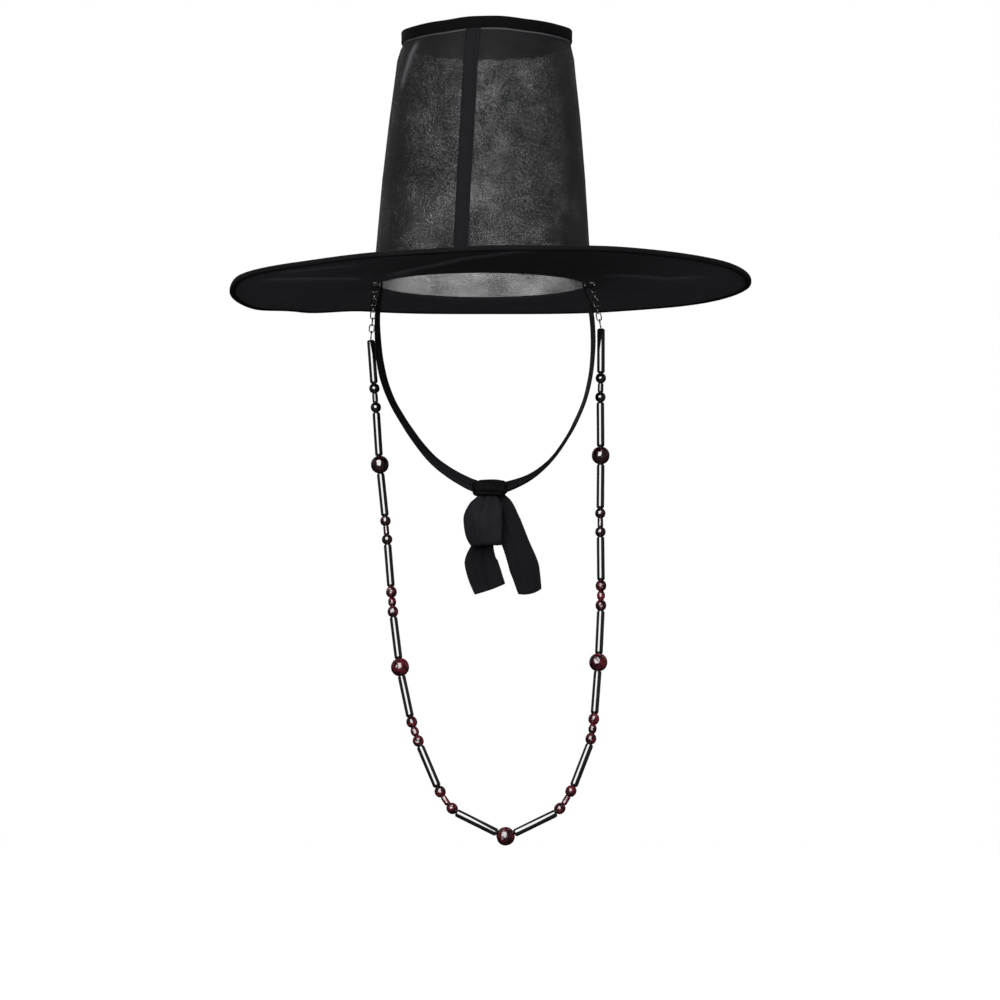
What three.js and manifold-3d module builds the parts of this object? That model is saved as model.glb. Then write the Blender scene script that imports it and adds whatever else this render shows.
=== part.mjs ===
// A tall brimmed hat of sheer black cloth, with a tied chin ribbon and a long hanging string of beads.
// Millimetres, +Z up, front towards -Y. The origin is the middle of the head opening, on the brim.

import * as THREE from 'three';
import { mergeVertices } from 'three/addons/utils/BufferGeometryUtils.js';
import Module from 'manifold-3d';

const wasm = await Module();
wasm.setup();

// Driving dimensions

// Pieces keep this gap. A piece laid on a faceted curve or a sloping sheet keeps the extra one too.
const CLEARANCE = 0.3;
const FACET_ROOM = 0.12;

// Outer radius of the crown's cloth, and how far its middle leans towards +X, at each height.
const CROWN_SECTIONS = [
  { height: 0, radius: 92.5, lean: 0 },
  { height: 36.4, radius: 89.2, lean: 0 },
  { height: 88, radius: 85.4, lean: 0.4 },
  { height: 139.5, radius: 80.1, lean: 1.4 },
  { height: 190, radius: 74.7, lean: 2.1 },
  { height: 199.2, radius: 72.7, lean: 3 },
  { height: 203.3, radius: 71.2, lean: 3.6 },
  { height: 214, radius: 71.2, lean: 3.6 },
];
const CROWN_CLOTH = 1;
const CROWN_SIDES = 40;

const LID_THICKNESS = 1.2;
const BINDING_DROP = 10;
const BINDING_LAP = 8;
const BINDING_TAPE = 1;

const SEAM_WIDTH = 12.2;
const SEAM_TAPE = 0.8;
const SEAM_AZIMUTH_FOOT = -101.5;
const SEAM_AZIMUTH_TOP = -98.6;

const OPENING_RADIUS = 88;
const BRIM_RADIUS = 220;
const BRIM_SHIFT = 6.8;
const BRIM_THICKNESS = 2.2;
const BRIM_SIDES = 56;
const EDGE_TAPE = 0.8;
const EDGE_LAP = 5;

// Height of the rim's middle above the opening, round the brim. Azimuth 0 is +X and 90 is the back.
const RIM_WAVES = [
  { azimuth: 0, lift: 1 },
  { azimuth: 30, lift: 1 },
  { azimuth: 60, lift: 2.5 },
  { azimuth: 90, lift: 4 },
  { azimuth: 120, lift: 2.6 },
  { azimuth: 140, lift: -4 },
  { azimuth: 160, lift: -9 },
  { azimuth: 180, lift: -7.2 },
  { azimuth: 200, lift: -4.2 },
  { azimuth: 225, lift: -3.6 },
  { azimuth: 250, lift: -1.8 },
  { azimuth: 275, lift: 1.4 },
  { azimuth: 300, lift: 3.6 },
  { azimuth: 330, lift: 3.2 },
];

const RIBBON = 1.2;
const EDGE_THINNING = 0.4;

// How much the chin ribbon's width rises towards the back, on a cheek that slopes.
const CHEEK_RISE = 0.1;

// The ribbon from inside the crown, down each cheek and under the chin. Its width lies along the
// cheek, front to back, and turn swings it round to face the front where the ribbon is gathered.
const LEFT_STRAP = [
  { x: -88.2, y: -4, z: 13, width: 22, thickness: RIBBON, turn: 0 },
  { x: -84.9, y: -4, z: -1, width: 24, thickness: RIBBON, turn: 0 },
  { x: -88.1, y: -6, z: -23.2, width: 24, thickness: RIBBON, turn: 4 },
  { x: -88.4, y: -11, z: -40.7, width: 24, thickness: RIBBON, turn: 6 },
  { x: -86, y: -19, z: -66.8, width: 24, thickness: 1.4, turn: 9 },
  { x: -82.1, y: -26, z: -85.2, width: 23, thickness: 1.6, turn: 10 },
  { x: -76, y: -34, z: -101.9, width: 21, thickness: 1.8, turn: 10 },
  { x: -66.6, y: -42, z: -119.4, width: 19, thickness: 2, turn: 12 },
  { x: -54.8, y: -49, z: -137.2, width: 17, thickness: 2.6, turn: 14 },
  { x: -40.9, y: -55, z: -153.5, width: 15, thickness: 3.6, turn: 18 },
  { x: -26.7, y: -59, z: -164.5, width: 14, thickness: 4.4, turn: 23 },
  { x: -11.8, y: -61.5, z: -172.6, width: 14, thickness: 4.8, turn: 26 },
  { x: -5.1, y: -62.4, z: -174.9, width: 14, thickness: 4.8, turn: 26 },
];
const RIGHT_STRAP = [
  { x: 88.2, y: -4, z: 13, width: 22, thickness: RIBBON, turn: 0 },
  { x: 84.9, y: -4, z: -2, width: 24, thickness: RIBBON, turn: 0 },
  { x: 91.6, y: -6, z: -23.2, width: 24, thickness: RIBBON, turn: -3 },
  { x: 93.3, y: -11, z: -43.2, width: 24, thickness: RIBBON, turn: -3 },
  { x: 92.1, y: -19, z: -65.1, width: 24, thickness: RIBBON, turn: -3 },
  { x: 89.4, y: -26, z: -84.4, width: 23, thickness: RIBBON, turn: -3 },
  { x: 85.1, y: -34, z: -101.9, width: 21, thickness: RIBBON, turn: -3 },
  { x: 78.1, y: -42, z: -119.4, width: 19, thickness: RIBBON, turn: -3 },
  { x: 68.8, y: -49, z: -136.8, width: 17, thickness: 1.4, turn: -3 },
  { x: 56.4, y: -55, z: -153.9, width: 15, thickness: 2, turn: -5 },
  { x: 39.7, y: -59, z: -168, width: 14, thickness: 3.2, turn: -12 },
  { x: 23.9, y: -61.5, z: -174.9, width: 14, thickness: 4.4, turn: -18 },
  { x: 16.6, y: -62.4, z: -177, width: 14, thickness: 4.6, turn: -20 },
];

// The knot's rounded block, and the ribbons that come out under it.
const KNOT = { x: 5.7, y: -63.4, z: -177, halfWidth: 10.3, halfDepth: 7.4, halfHeight: 7 };
const LOBE = [
  { x: 5.4, y: -68, z: -183.9, width: 16, thickness: RIBBON, turn: 0 },
  { x: 4, y: -73, z: -192, width: 25, thickness: RIBBON, turn: 0 },
  { x: 1.4, y: -76.5, z: -204, width: 31, thickness: RIBBON, turn: 0 },
  { x: 2.2, y: -75.5, z: -217, width: 29, thickness: RIBBON, turn: 0 },
  { x: 4.4, y: -72.2, z: -225.2, width: 24, thickness: RIBBON, turn: 0 },
  { x: 4.6, y: -69.8, z: -225.4, width: 24, thickness: RIBBON, turn: 0 },
  { x: 3.6, y: -68.2, z: -215, width: 26, thickness: RIBBON, turn: 0 },
  { x: 3.6, y: -67, z: -204, width: 24, thickness: RIBBON, turn: 0 },
  { x: 5, y: -65.8, z: -192.5, width: 18, thickness: RIBBON, turn: 0 },
  { x: 5.4, y: -65, z: -184.8, width: 14, thickness: RIBBON, turn: 0 },
];
const RIGHT_TAIL = [
  { x: 11.2, y: -62.6, z: -184.5, width: 12, thickness: RIBBON, turn: 0 },
  { x: 15.4, y: -63.2, z: -193, width: 15, thickness: RIBBON, turn: 2 },
  { x: 20.2, y: -64.6, z: -208, width: 20, thickness: RIBBON, turn: 4 },
  { x: 28, y: -66.4, z: -226, width: 21.5, thickness: RIBBON, turn: 5 },
  { x: 34.7, y: -68, z: -244, width: 25, thickness: RIBBON, turn: 4 },
  { x: 39.4, y: -69, z: -264, width: 20, thickness: RIBBON, turn: 2 },
];
const LEFT_TAIL = [
  { x: 3.2, y: -59.6, z: -184.5, width: 12, thickness: RIBBON, turn: 0 },
  { x: 2.6, y: -58.8, z: -196, width: 16, thickness: RIBBON, turn: 0 },
  { x: 3.2, y: -58.4, z: -212, width: 19, thickness: RIBBON, turn: -2 },
  { x: 3, y: -59.4, z: -226, width: 23, thickness: RIBBON, turn: -3 },
  { x: -0.8, y: -60.4, z: -238.5, width: 29, thickness: RIBBON, turn: -3 },
  { x: 2.2, y: -61.4, z: -250, width: 28.5, thickness: RIBBON, turn: -2 },
  { x: 6.6, y: -62.2, z: -262, width: 27, thickness: RIBBON, turn: 0 },
];

// The line that each half of the bead string hangs on, from its top tube to the middle bead.
const LEFT_ROUTE = [
  { x: -93.3, y: -31, z: -51.5 },
  { x: -90.4, y: -33.5, z: -88.7 },
  { x: -88.6, y: -35.4, z: -110.7 },
  { x: -85.3, y: -39.9, z: -156.5 },
  { x: -80.6, y: -47.7, z: -200.2 },
  { x: -75.1, y: -62.7, z: -260 },
  { x: -72.6, y: -71.5, z: -287.9 },
  { x: -67.1, y: -84.4, z: -326.7 },
  { x: -58.5, y: -99, z: -367.1 },
  { x: -49.9, y: -107.8, z: -392.1 },
  { x: -36.6, y: -116.1, z: -423.3 },
  { x: -22.5, y: -120.8, z: -443.9 },
  { x: 0.1, y: -122.4, z: -456.5 },
  { x: 19.3, y: -123, z: -464.6 },
];
const RIGHT_ROUTE = [
  { x: 99.3, y: -30.4, z: -41.8 },
  { x: 99.1, y: -32.8, z: -79.4 },
  { x: 98.5, y: -34.6, z: -103.9 },
  { x: 98.6, y: -39.6, z: -152.3 },
  { x: 98, y: -47, z: -196 },
  { x: 98.1, y: -61.8, z: -256.7 },
  { x: 97.6, y: -70.6, z: -284.3 },
  { x: 95, y: -84.3, z: -326.4 },
  { x: 91.3, y: -99.6, z: -368.5 },
  { x: 86.4, y: -108.9, z: -395 },
  { x: 74.4, y: -116.3, z: -423.9 },
  { x: 60.5, y: -120.8, z: -445.4 },
  { x: 39.7, y: -122.4, z: -457.3 },
  { x: 19.3, y: -123, z: -464.6 },
];

// The tubes' lengths differ a little between the two halves.
const LEFT_TUBE = 36.9;
const RIGHT_TUBE = 37.8;

// Each kind of bead: rings along its axis, in parts of its length, with parts of its radius.
const BEADS = {
  tube: { radius: 3.25, rings: [[-0.49, 0.55], [-0.46, 1], [0.46, 1], [0.49, 0.55]] },
  large: {
    length: 14.9,
    radius: 7.5,
    rings: [[-0.48, 0.28], [-0.35, 0.71], [-0.13, 0.97], [0.13, 0.97], [0.35, 0.71], [0.48, 0.28]],
  },
  round: { length: 8.5, radius: 4.4, rings: [[-0.45, 0.45], [-0.2, 0.93], [0.2, 0.93], [0.45, 0.45]] },
  garnet: { length: 9.4, radius: 4.5, rings: [[-0.46, 0.45], [-0.2, 0.93], [0.2, 0.93], [0.46, 0.45]] },
  spacer: { length: 7.9, radius: 3.4, rings: [[-0.36, 0.7], [0, 1], [0.36, 0.7]] },
  bugle: { length: 7.6, radius: 2.4, rings: [[-0.47, 0.9], [0.47, 0.9]] },
};
const HALF_STRING = [
  'tube', 'round', 'bugle', 'round', 'tube', 'large', 'tube', 'round', 'bugle', 'round', 'tube',
  'garnet', 'spacer', 'garnet', 'tube', 'large', 'tube', 'garnet', 'spacer', 'garnet', 'tube',
  'garnet', 'bugle', 'garnet', 'tube',
];
const BEAD_SIDES = 10;
const THREAD_RADIUS = 1;

const LINK_WIRE = 1.1;
const LINK_WIDTH = 5;
const LINK_BITE = 0.25;
const LINK_STEPS = 10;
const LINK_WIRE_SIDES = 5;
const EYE_WIRE_SIDES = 6;
const EYE_STEPS = 8;
const EYE_RADIUS = 2.6;
const EYE_FOOT = { length: 10, width: 5, thickness: 0.8 };
const LEFT_EYE = { x: -89.4, y: -28 };
const RIGHT_EYE = { x: 92.4, y: -28 };
const LEFT_LINKS = 8;
const RIGHT_LINKS = 6;

// Worked out from the sizes above

const BRIM_TOP = -CLEARANCE;
const BRIM_UNDERSIDE = BRIM_TOP - BRIM_THICKNESS;
const CROWN_TOP = CROWN_SECTIONS.at(-1);
const BINDING_RADIUS = CROWN_TOP.radius + CLEARANCE + BINDING_TAPE;
const BINDING_TOP = CROWN_TOP.height + CLEARANCE + BINDING_TAPE;

// Colours and finishes

const finish = (color, roughness, metalness = 0) => () =>
  new THREE.MeshStandardMaterial({ color, roughness, metalness });
const sheerCloth = finish('#3a3a3c', 0.8);
const blackCloth = finish('#0d0d0e', 0.85);
const brimCloth = finish('#101012', 0.8);
const ribbonCloth = finish('#121214', 0.6);
const darkBeads = finish('#1c0d10', 0.15);
const silver = finish('#c9c7c2', 0.3, 1);

// Helpers

function named(name, geometry, material) {
  const mesh = new THREE.Mesh(geometry, material());
  mesh.name = name;
  return mesh;
}

function table(rows, key, at, column) {
  if (at <= rows[0][key]) return rows[0][column];
  for (let i = 1; i < rows.length; i += 1) {
    const low = rows[i - 1];
    const high = rows[i];
    if (at <= high[key]) {
      return THREE.MathUtils.mapLinear(at, low[key], high[key], low[column], high[column]);
    }
  }
  return rows.at(-1)[column];
}

function geometryOf(points, triangles) {
  const geometry = new THREE.BufferGeometry();
  geometry.setAttribute('position', new THREE.Float32BufferAttribute(points.flatMap((p) => p.toArray()), 3));
  geometry.setIndex(triangles.flat());
  return outward(geometry);
}

// Turns every face round if the mesh encloses a negative volume.
function outward(geometry) {
  const position = geometry.getAttribute('position');
  const index = geometry.getIndex();
  const corner = [0, 1, 2].map(() => new THREE.Vector3());
  let volume = 0;
  for (let i = 0; i < index.count; i += 3) {
    corner.forEach((point, k) => point.fromBufferAttribute(position, index.getX(i + k)));
    volume += corner[0].dot(corner[1].clone().cross(corner[2]));
  }
  if (volume < 0) {
    for (let i = 0; i < index.count; i += 3) {
      const swap = index.getX(i + 1);
      index.setX(i + 1, index.getX(i + 2));
      index.setX(i + 2, swap);
    }
  }
  geometry.computeVertexNormals();
  return geometry;
}

// A closed skin over sections of equally many points. Open ends are closed by a ladder of faces,
// which joins the first half of a section's points to the second half.
function skin(sections, closed) {
  const count = sections[0].length;
  const triangles = [];
  const quad = (a, b, c, d) => triangles.push([a, b, c], [a, c, d]);
  const spans = closed ? sections.length : sections.length - 1;
  for (let i = 0; i < spans; i += 1) {
    const here = i * count;
    const next = ((i + 1) % sections.length) * count;
    for (let k = 0; k < count; k += 1) {
      const other = (k + 1) % count;
      quad(here + k, here + other, next + other, next + k);
    }
  }
  if (!closed) {
    const last = (sections.length - 1) * count;
    for (let k = 0; k < count / 2 - 1; k += 1) {
      const across = count - 1 - k;
      quad(k, across, across - 1, k + 1);
      quad(last + k, last + k + 1, last + across - 1, last + across);
    }
  }
  return geometryOf(sections.flat(), triangles);
}

function solidOf(geometry) {
  const bare = geometry.clone();
  bare.deleteAttribute('normal');
  bare.deleteAttribute('uv');
  const merged = mergeVertices(bare, 1e-4);
  return new wasm.Manifold(new wasm.Mesh({
    numProp: 3,
    vertProperties: new Float32Array(merged.getAttribute('position').array),
    triVerts: new Uint32Array(merged.getIndex().array),
  }));
}

function fused(geometries) {
  const mesh = geometries.map(solidOf).reduce((sum, solid) => sum.add(solid)).getMesh();
  const geometry = new THREE.BufferGeometry();
  geometry.setAttribute('position', new THREE.BufferAttribute(mesh.vertProperties, 3));
  geometry.setIndex(new THREE.BufferAttribute(mesh.triVerts, 1));
  geometry.computeVertexNormals();
  return geometry;
}

// A thin ring of sheet, from a closed loop of radius and height pairs that may change with azimuth.
function sheetRing(sides, loopAt, shiftAt) {
  const sections = [];
  for (let i = 0; i < sides; i += 1) {
    const azimuth = (i * 360) / sides;
    const angle = THREE.MathUtils.degToRad(azimuth);
    sections.push(loopAt(azimuth).map(([radius, height]) => new THREE.Vector3(
      shiftAt(radius, height) + radius * Math.cos(angle),
      radius * Math.sin(angle),
      height,
    )));
  }
  return skin(sections, true);
}

// Crown

const crownRadius = (height) => table(CROWN_SECTIONS, 'height', height, 'radius');
const crownLean = (height) => table(CROWN_SECTIONS, 'height', height, 'lean');

function crownMesh() {
  const outside = CROWN_SECTIONS.map(({ radius, height }) => [radius, height]);
  const inside = outside.map(([radius, height]) => [radius - CROWN_CLOTH, height]).reverse();
  return sheetRing(CROWN_SIDES, () => [...outside, ...inside], (radius, height) => crownLean(height));
}

function crownLid() {
  const radius = CROWN_TOP.radius - CROWN_CLOTH - CLEARANCE;
  const disc = new THREE.CylinderGeometry(radius, radius, LID_THICKNESS, CROWN_SIDES);
  disc.rotateX(Math.PI / 2);
  disc.translate(CROWN_TOP.lean, 0, CROWN_TOP.height - LID_THICKNESS / 2);
  return disc;
}

function crownBinding() {
  const foot = BINDING_TOP - BINDING_DROP;
  const inside = BINDING_RADIUS - BINDING_TAPE;
  const lap = BINDING_RADIUS - BINDING_LAP;
  const loop = [
    [BINDING_RADIUS, foot],
    [BINDING_RADIUS, BINDING_TOP],
    [lap, BINDING_TOP],
    [lap, BINDING_TOP - BINDING_TAPE],
    [inside, BINDING_TOP - BINDING_TAPE],
    [inside, foot],
  ];
  return sheetRing(CROWN_SIDES, () => loop, () => CROWN_TOP.lean);
}

function seamTape() {
  const foot = CLEARANCE;
  const top = BINDING_TOP - BINDING_DROP - CLEARANCE;
  const between = CROWN_SECTIONS.map(({ height }) => height).filter((h) => h > foot && h < top);
  const sections = [foot, ...between, top].map((height) => {
    const azimuth = THREE.MathUtils.mapLinear(height, foot, top, SEAM_AZIMUTH_FOOT, SEAM_AZIMUTH_TOP);
    const radius = crownRadius(height) + CLEARANCE + FACET_ROOM;
    const halfAngle = SEAM_WIDTH / 2 / radius;
    const row = (distance, sides) => sides.map((side) => {
      const angle = THREE.MathUtils.degToRad(azimuth) + side * halfAngle;
      return new THREE.Vector3(
        crownLean(height) + distance * Math.cos(angle),
        distance * Math.sin(angle),
        height,
      );
    });
    return [...row(radius, [-1, 0, 1]), ...row(radius + SEAM_TAPE, [1, 0, -1])];
  });
  return skin(sections, false);
}

// Brim

const RIM_ROUND = [...RIM_WAVES, { ...RIM_WAVES[0], azimuth: 360 }];

function rimLift(azimuth) {
  const after = RIM_ROUND.findIndex((row) => row.azimuth > azimuth);
  const low = RIM_ROUND[after - 1];
  const high = RIM_ROUND[after];
  return low.lift + (high.lift - low.lift) * THREE.MathUtils.smoothstep(azimuth, low.azimuth, high.azimuth);
}

// The brim is level at the opening and bends towards the rim's waves.
function brimLift(radius, azimuth) {
  const part = THREE.MathUtils.clamp((radius - OPENING_RADIUS) / (BRIM_RADIUS - OPENING_RADIUS), 0, 1);
  return rimLift(azimuth) * part ** 1.4;
}

const brimShift = (radius) =>
  BRIM_SHIFT * THREE.MathUtils.smoothstep(radius, OPENING_RADIUS + 10, BRIM_RADIUS - 10);

function brim() {
  const edge = BRIM_RADIUS - EDGE_TAPE - CLEARANCE;
  const stations = [OPENING_RADIUS, 105, 145, 185, edge];
  const loopAt = (azimuth) => [
    ...stations.map((radius) => [radius, BRIM_TOP + brimLift(radius, azimuth)]),
    ...stations.toReversed().map((radius) => [radius, BRIM_UNDERSIDE + brimLift(radius, azimuth)]),
  ];
  return sheetRing(BRIM_SIDES, loopAt, brimShift);
}

function brimBinding() {
  const lap = BRIM_RADIUS - EDGE_LAP;
  const inside = BRIM_RADIUS - EDGE_TAPE;
  const loopAt = (azimuth) => {
    const top = BRIM_TOP + CLEARANCE;
    const under = BRIM_UNDERSIDE - CLEARANCE;
    const loop = [
      [lap, top],
      [lap, top + EDGE_TAPE],
      [BRIM_RADIUS, top + EDGE_TAPE],
      [BRIM_RADIUS, under - EDGE_TAPE],
      [lap, under - EDGE_TAPE],
      [lap, under],
      [inside, under],
      [inside, top],
    ];
    return loop.map(([radius, height]) => [radius, height + brimLift(radius, azimuth)]);
  };
  return sheetRing(BRIM_SIDES, loopAt, brimShift);
}

// Ribbons

const pointOf = ({ x, y, z }) => new THREE.Vector3(x, y, z);

// A flat ribbon through a table's rows, with some steps from each row to the next. It is a little
// thinner at its edges than along its middle.
function ribbon(rows, widthAxis, stepsPerRow) {
  const curve = new THREE.CatmullRomCurve3(rows.map(pointOf), false, 'centripetal');
  const steps = (rows.length - 1) * stepsPerRow;
  const sections = [];
  for (let i = 0; i <= steps; i += 1) {
    const row = Math.min(Math.floor(i / stepsPerRow), rows.length - 2);
    const onward = i / stepsPerRow - row;
    const value = (column) => THREE.MathUtils.lerp(rows[row][column], rows[row + 1][column], onward);
    const middle = curve.getPoint(i / steps);
    const along = curve.getTangent(i / steps);
    const across = widthAxis.clone().addScaledVector(along, -widthAxis.dot(along)).normalize();
    across.applyAxisAngle(along, THREE.MathUtils.degToRad(value('turn')));
    const face = new THREE.Vector3().crossVectors(along, across);
    const side = (offset, sides) => sides.map((s) => middle.clone()
      .addScaledVector(across, (s * value('width')) / 2)
      .addScaledVector(face, offset * (1 - EDGE_THINNING * Math.abs(s))));
    const half = value('thickness') / 2;
    sections.push([...side(-half, [-1, 0, 1]), ...side(half, [1, 0, -1])]);
  }
  return skin(sections, false);
}

const FRONT_TO_BACK = new THREE.Vector3(0, 1, CHEEK_RISE).normalize();
const SIDE_TO_SIDE = new THREE.Vector3(1, 0, 0);

// A rounded block, as a sphere whose sides are pushed out towards a box.
function chinKnot() {
  const block = new THREE.SphereGeometry(1, 12, 7);
  const position = block.getAttribute('position');
  for (let i = 0; i < position.count; i += 1) {
    const point = new THREE.Vector3().fromBufferAttribute(position, i);
    const squared = (v) => Math.sign(v) * Math.abs(v) ** 0.7;
    point.set(squared(point.x), squared(point.z), squared(point.y));
    position.setXYZ(i, point.x * KNOT.halfWidth, point.y * KNOT.halfDepth, point.z * KNOT.halfHeight);
  }
  block.deleteAttribute('normal');
  block.deleteAttribute('uv');
  const merged = mergeVertices(block, 1e-4);
  return outward(merged).translate(KNOT.x, KNOT.y, KNOT.z);
}

// Beads

// One half of the string. Each bead is straight and lies on the chord of its stretch of the route,
// with a ring of thread between two beads. One of the halves ends with the middle bead.
function beadString(route, tubeLength, hasMiddleBead) {
  const curve = new THREE.CatmullRomCurve3(route.map(pointOf), false, 'centripetal');
  curve.arcLengthDivisions = 1000;
  const total = curve.getLength();
  const lengthOf = (kind) => (kind === 'tube' ? tubeLength : BEADS[kind].length);
  const strung = HALF_STRING.reduce((sum, kind) => sum + lengthOf(kind), 0);
  const fit = (total - BEADS.large.length / 2) / strung;
  const sections = [];
  const ring = (centre, axis, radius) => {
    const side = new THREE.Vector3(0, 1, 0).addScaledVector(axis, -axis.y).normalize();
    const other = new THREE.Vector3().crossVectors(axis, side);
    const points = [];
    for (let k = 0; k < BEAD_SIDES; k += 1) {
      const angle = ((k + 0.5) * 2 * Math.PI) / BEAD_SIDES;
      points.push(centre.clone()
        .addScaledVector(side, radius * Math.cos(angle))
        .addScaledVector(other, radius * Math.sin(angle)));
    }
    sections.push(points);
  };
  const bead = (kind, start, end, length) => {
    const axis = end.clone().sub(start).normalize();
    const centre = start.clone().add(end).multiplyScalar(0.5);
    BEADS[kind].rings.forEach(([part, size]) => {
      ring(centre.clone().addScaledVector(axis, part * length), axis, size * BEADS[kind].radius);
    });
    return axis;
  };
  let along = 0;
  let end = curve.getPointAt(0);
  HALF_STRING.forEach((kind, i) => {
    const start = end;
    const length = lengthOf(kind) * fit;
    along += length;
    end = curve.getPointAt(Math.min(along / total, 1));
    if (i > 0) ring(start, end.clone().sub(start).normalize(), THREAD_RADIUS);
    bead(kind, start, end, length);
  });
  if (hasMiddleBead) {
    const centre = curve.getPointAt(1);
    const far = centre.clone().multiplyScalar(2).sub(end);
    ring(end, far.clone().sub(end).normalize(), THREAD_RADIUS);
    bead('large', end, far, BEADS.large.length);
  }
  return skin(sections, false);
}

// Chains

// One section of the wire, round its middle, in the plane of two directions.
function wireSection(middle, outwards, sideways, sides) {
  const points = [];
  for (let k = 0; k < sides; k += 1) {
    const turn = (k * 2 * Math.PI) / sides;
    points.push(middle.clone()
      .addScaledVector(outwards, (LINK_WIRE / 2) * Math.cos(turn))
      .addScaledVector(sideways, (LINK_WIRE / 2) * Math.sin(turn)));
  }
  return points;
}

function link(centre, along, across, halfLength, halfWidth) {
  const sideways = new THREE.Vector3().crossVectors(along, across);
  const sections = [];
  for (let i = 0; i < LINK_STEPS; i += 1) {
    const angle = ((i + 0.5) * 2 * Math.PI) / LINK_STEPS;
    const outwards = new THREE.Vector3()
      .addScaledVector(along, Math.cos(angle))
      .addScaledVector(across, Math.sin(angle));
    const middle = centre.clone()
      .addScaledVector(along, halfLength * Math.cos(angle))
      .addScaledVector(across, halfWidth * Math.sin(angle));
    sections.push(wireSection(middle, outwards, sideways, LINK_WIRE_SIDES));
  }
  return skin(sections, true);
}

// Links that bite a little into each other, so that the hanging chain is one body.
function chain(top, bottom, count) {
  const along = bottom.clone().sub(top).normalize();
  const reach = top.distanceTo(bottom);
  const length = (reach + (count - 1) * (2 * LINK_WIRE - LINK_BITE)) / count;
  const pitch = length - 2 * LINK_WIRE + LINK_BITE;
  const facing = new THREE.Vector3(1, 0, 0).addScaledVector(along, -along.x).normalize();
  const edgeOn = new THREE.Vector3().crossVectors(along, facing);
  const links = [];
  for (let i = 0; i < count; i += 1) {
    const centre = top.clone().addScaledVector(along, length / 2 + i * pitch);
    const across = i % 2 === 0 ? facing : edgeOn;
    links.push(link(centre, along, across, (length - LINK_WIRE) / 2, (LINK_WIDTH - LINK_WIRE) / 2));
  }
  return fused(links);
}

function eyeFootTop(eye) {
  const azimuth = THREE.MathUtils.radToDeg(Math.atan2(eye.y, eye.x) + 2 * Math.PI);
  return BRIM_UNDERSIDE - CLEARANCE - FACET_ROOM + brimLift(Math.hypot(eye.x, eye.y), azimuth);
}

// A sewn-on eye: a flat foot under the brim and half a ring of wire below it.
function brimEye(eye) {
  const footTop = eyeFootTop(eye);
  const foot = new THREE.BoxGeometry(EYE_FOOT.width, EYE_FOOT.length, EYE_FOOT.thickness);
  foot.translate(eye.x, eye.y, footTop - EYE_FOOT.thickness / 2);
  const wire = [];
  for (let i = 0; i <= EYE_STEPS; i += 1) {
    const angle = (i * Math.PI) / EYE_STEPS;
    const outwards = new THREE.Vector3(0, Math.cos(angle), -Math.sin(angle));
    const middle = new THREE.Vector3(eye.x, eye.y, footTop - EYE_FOOT.thickness / 2)
      .addScaledVector(outwards, EYE_RADIUS);
    wire.push(wireSection(middle, outwards, SIDE_TO_SIDE, EYE_WIRE_SIDES));
  }
  return fused([foot, skin(wire, false)]);
}

// The chain's first link hangs in the eye, with its wire just above the eye's wire.
function chainTop(eye) {
  const eyeWire = eyeFootTop(eye) - EYE_FOOT.thickness / 2 - EYE_RADIUS;
  return new THREE.Vector3(eye.x, eye.y, eyeWire + CLEARANCE + 1.5 * LINK_WIRE);
}

function chainBottom(route) {
  return pointOf(route[0]).add(new THREE.Vector3(0, 0, CLEARANCE));
}

// Assembly

const hat = new THREE.Group();
hat.add(
  named('crown_mesh', crownMesh(), sheerCloth),
  named('crown_lid', crownLid(), blackCloth),
  named('crown_binding', crownBinding(), blackCloth),
  named('seam_tape', seamTape(), blackCloth),
  named('brim', brim(), brimCloth),
  named('brim_binding', brimBinding(), brimCloth),
);

const chinRibbon = new THREE.Group();
chinRibbon.add(
  named('chin_strap_left', ribbon(LEFT_STRAP, FRONT_TO_BACK, 2), ribbonCloth),
  named('chin_strap_right', ribbon(RIGHT_STRAP, FRONT_TO_BACK, 2), ribbonCloth),
  named('chin_knot', chinKnot(), ribbonCloth),
  named('knot_lobe', ribbon(LOBE, SIDE_TO_SIDE, 3), ribbonCloth),
  named('ribbon_tail_left', ribbon(LEFT_TAIL, SIDE_TO_SIDE, 2), ribbonCloth),
  named('ribbon_tail_right', ribbon(RIGHT_TAIL, SIDE_TO_SIDE, 2), ribbonCloth),
);

const beads = new THREE.Group();
beads.add(
  named('brim_eye_left', brimEye(LEFT_EYE), silver),
  named('brim_eye_right', brimEye(RIGHT_EYE), silver),
  named('chain_left', chain(chainTop(LEFT_EYE), chainBottom(LEFT_ROUTE), LEFT_LINKS), silver),
  named('chain_right', chain(chainTop(RIGHT_EYE), chainBottom(RIGHT_ROUTE), RIGHT_LINKS), silver),
  named('bead_string_left', beadString(LEFT_ROUTE, LEFT_TUBE, false), darkBeads),
  named('bead_string_right', beadString(RIGHT_ROUTE, RIGHT_TUBE, true), darkBeads),
);

const part = new THREE.Group();
part.add(hat, chinRibbon, beads);

export default part;
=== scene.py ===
"""A tall brimmed hat of sheer black cloth, with a tied chin ribbon and a long hanging string of beads.

Metres, +Z up, front towards -Y. The tables give millimetres, as the part's own source does.
"""

import math
from collections import namedtuple

import bpy
import numpy as np
from bpy.props import FloatProperty, FloatVectorProperty, IntProperty, PointerProperty
from mathutils import Matrix, Vector, noise


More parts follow.
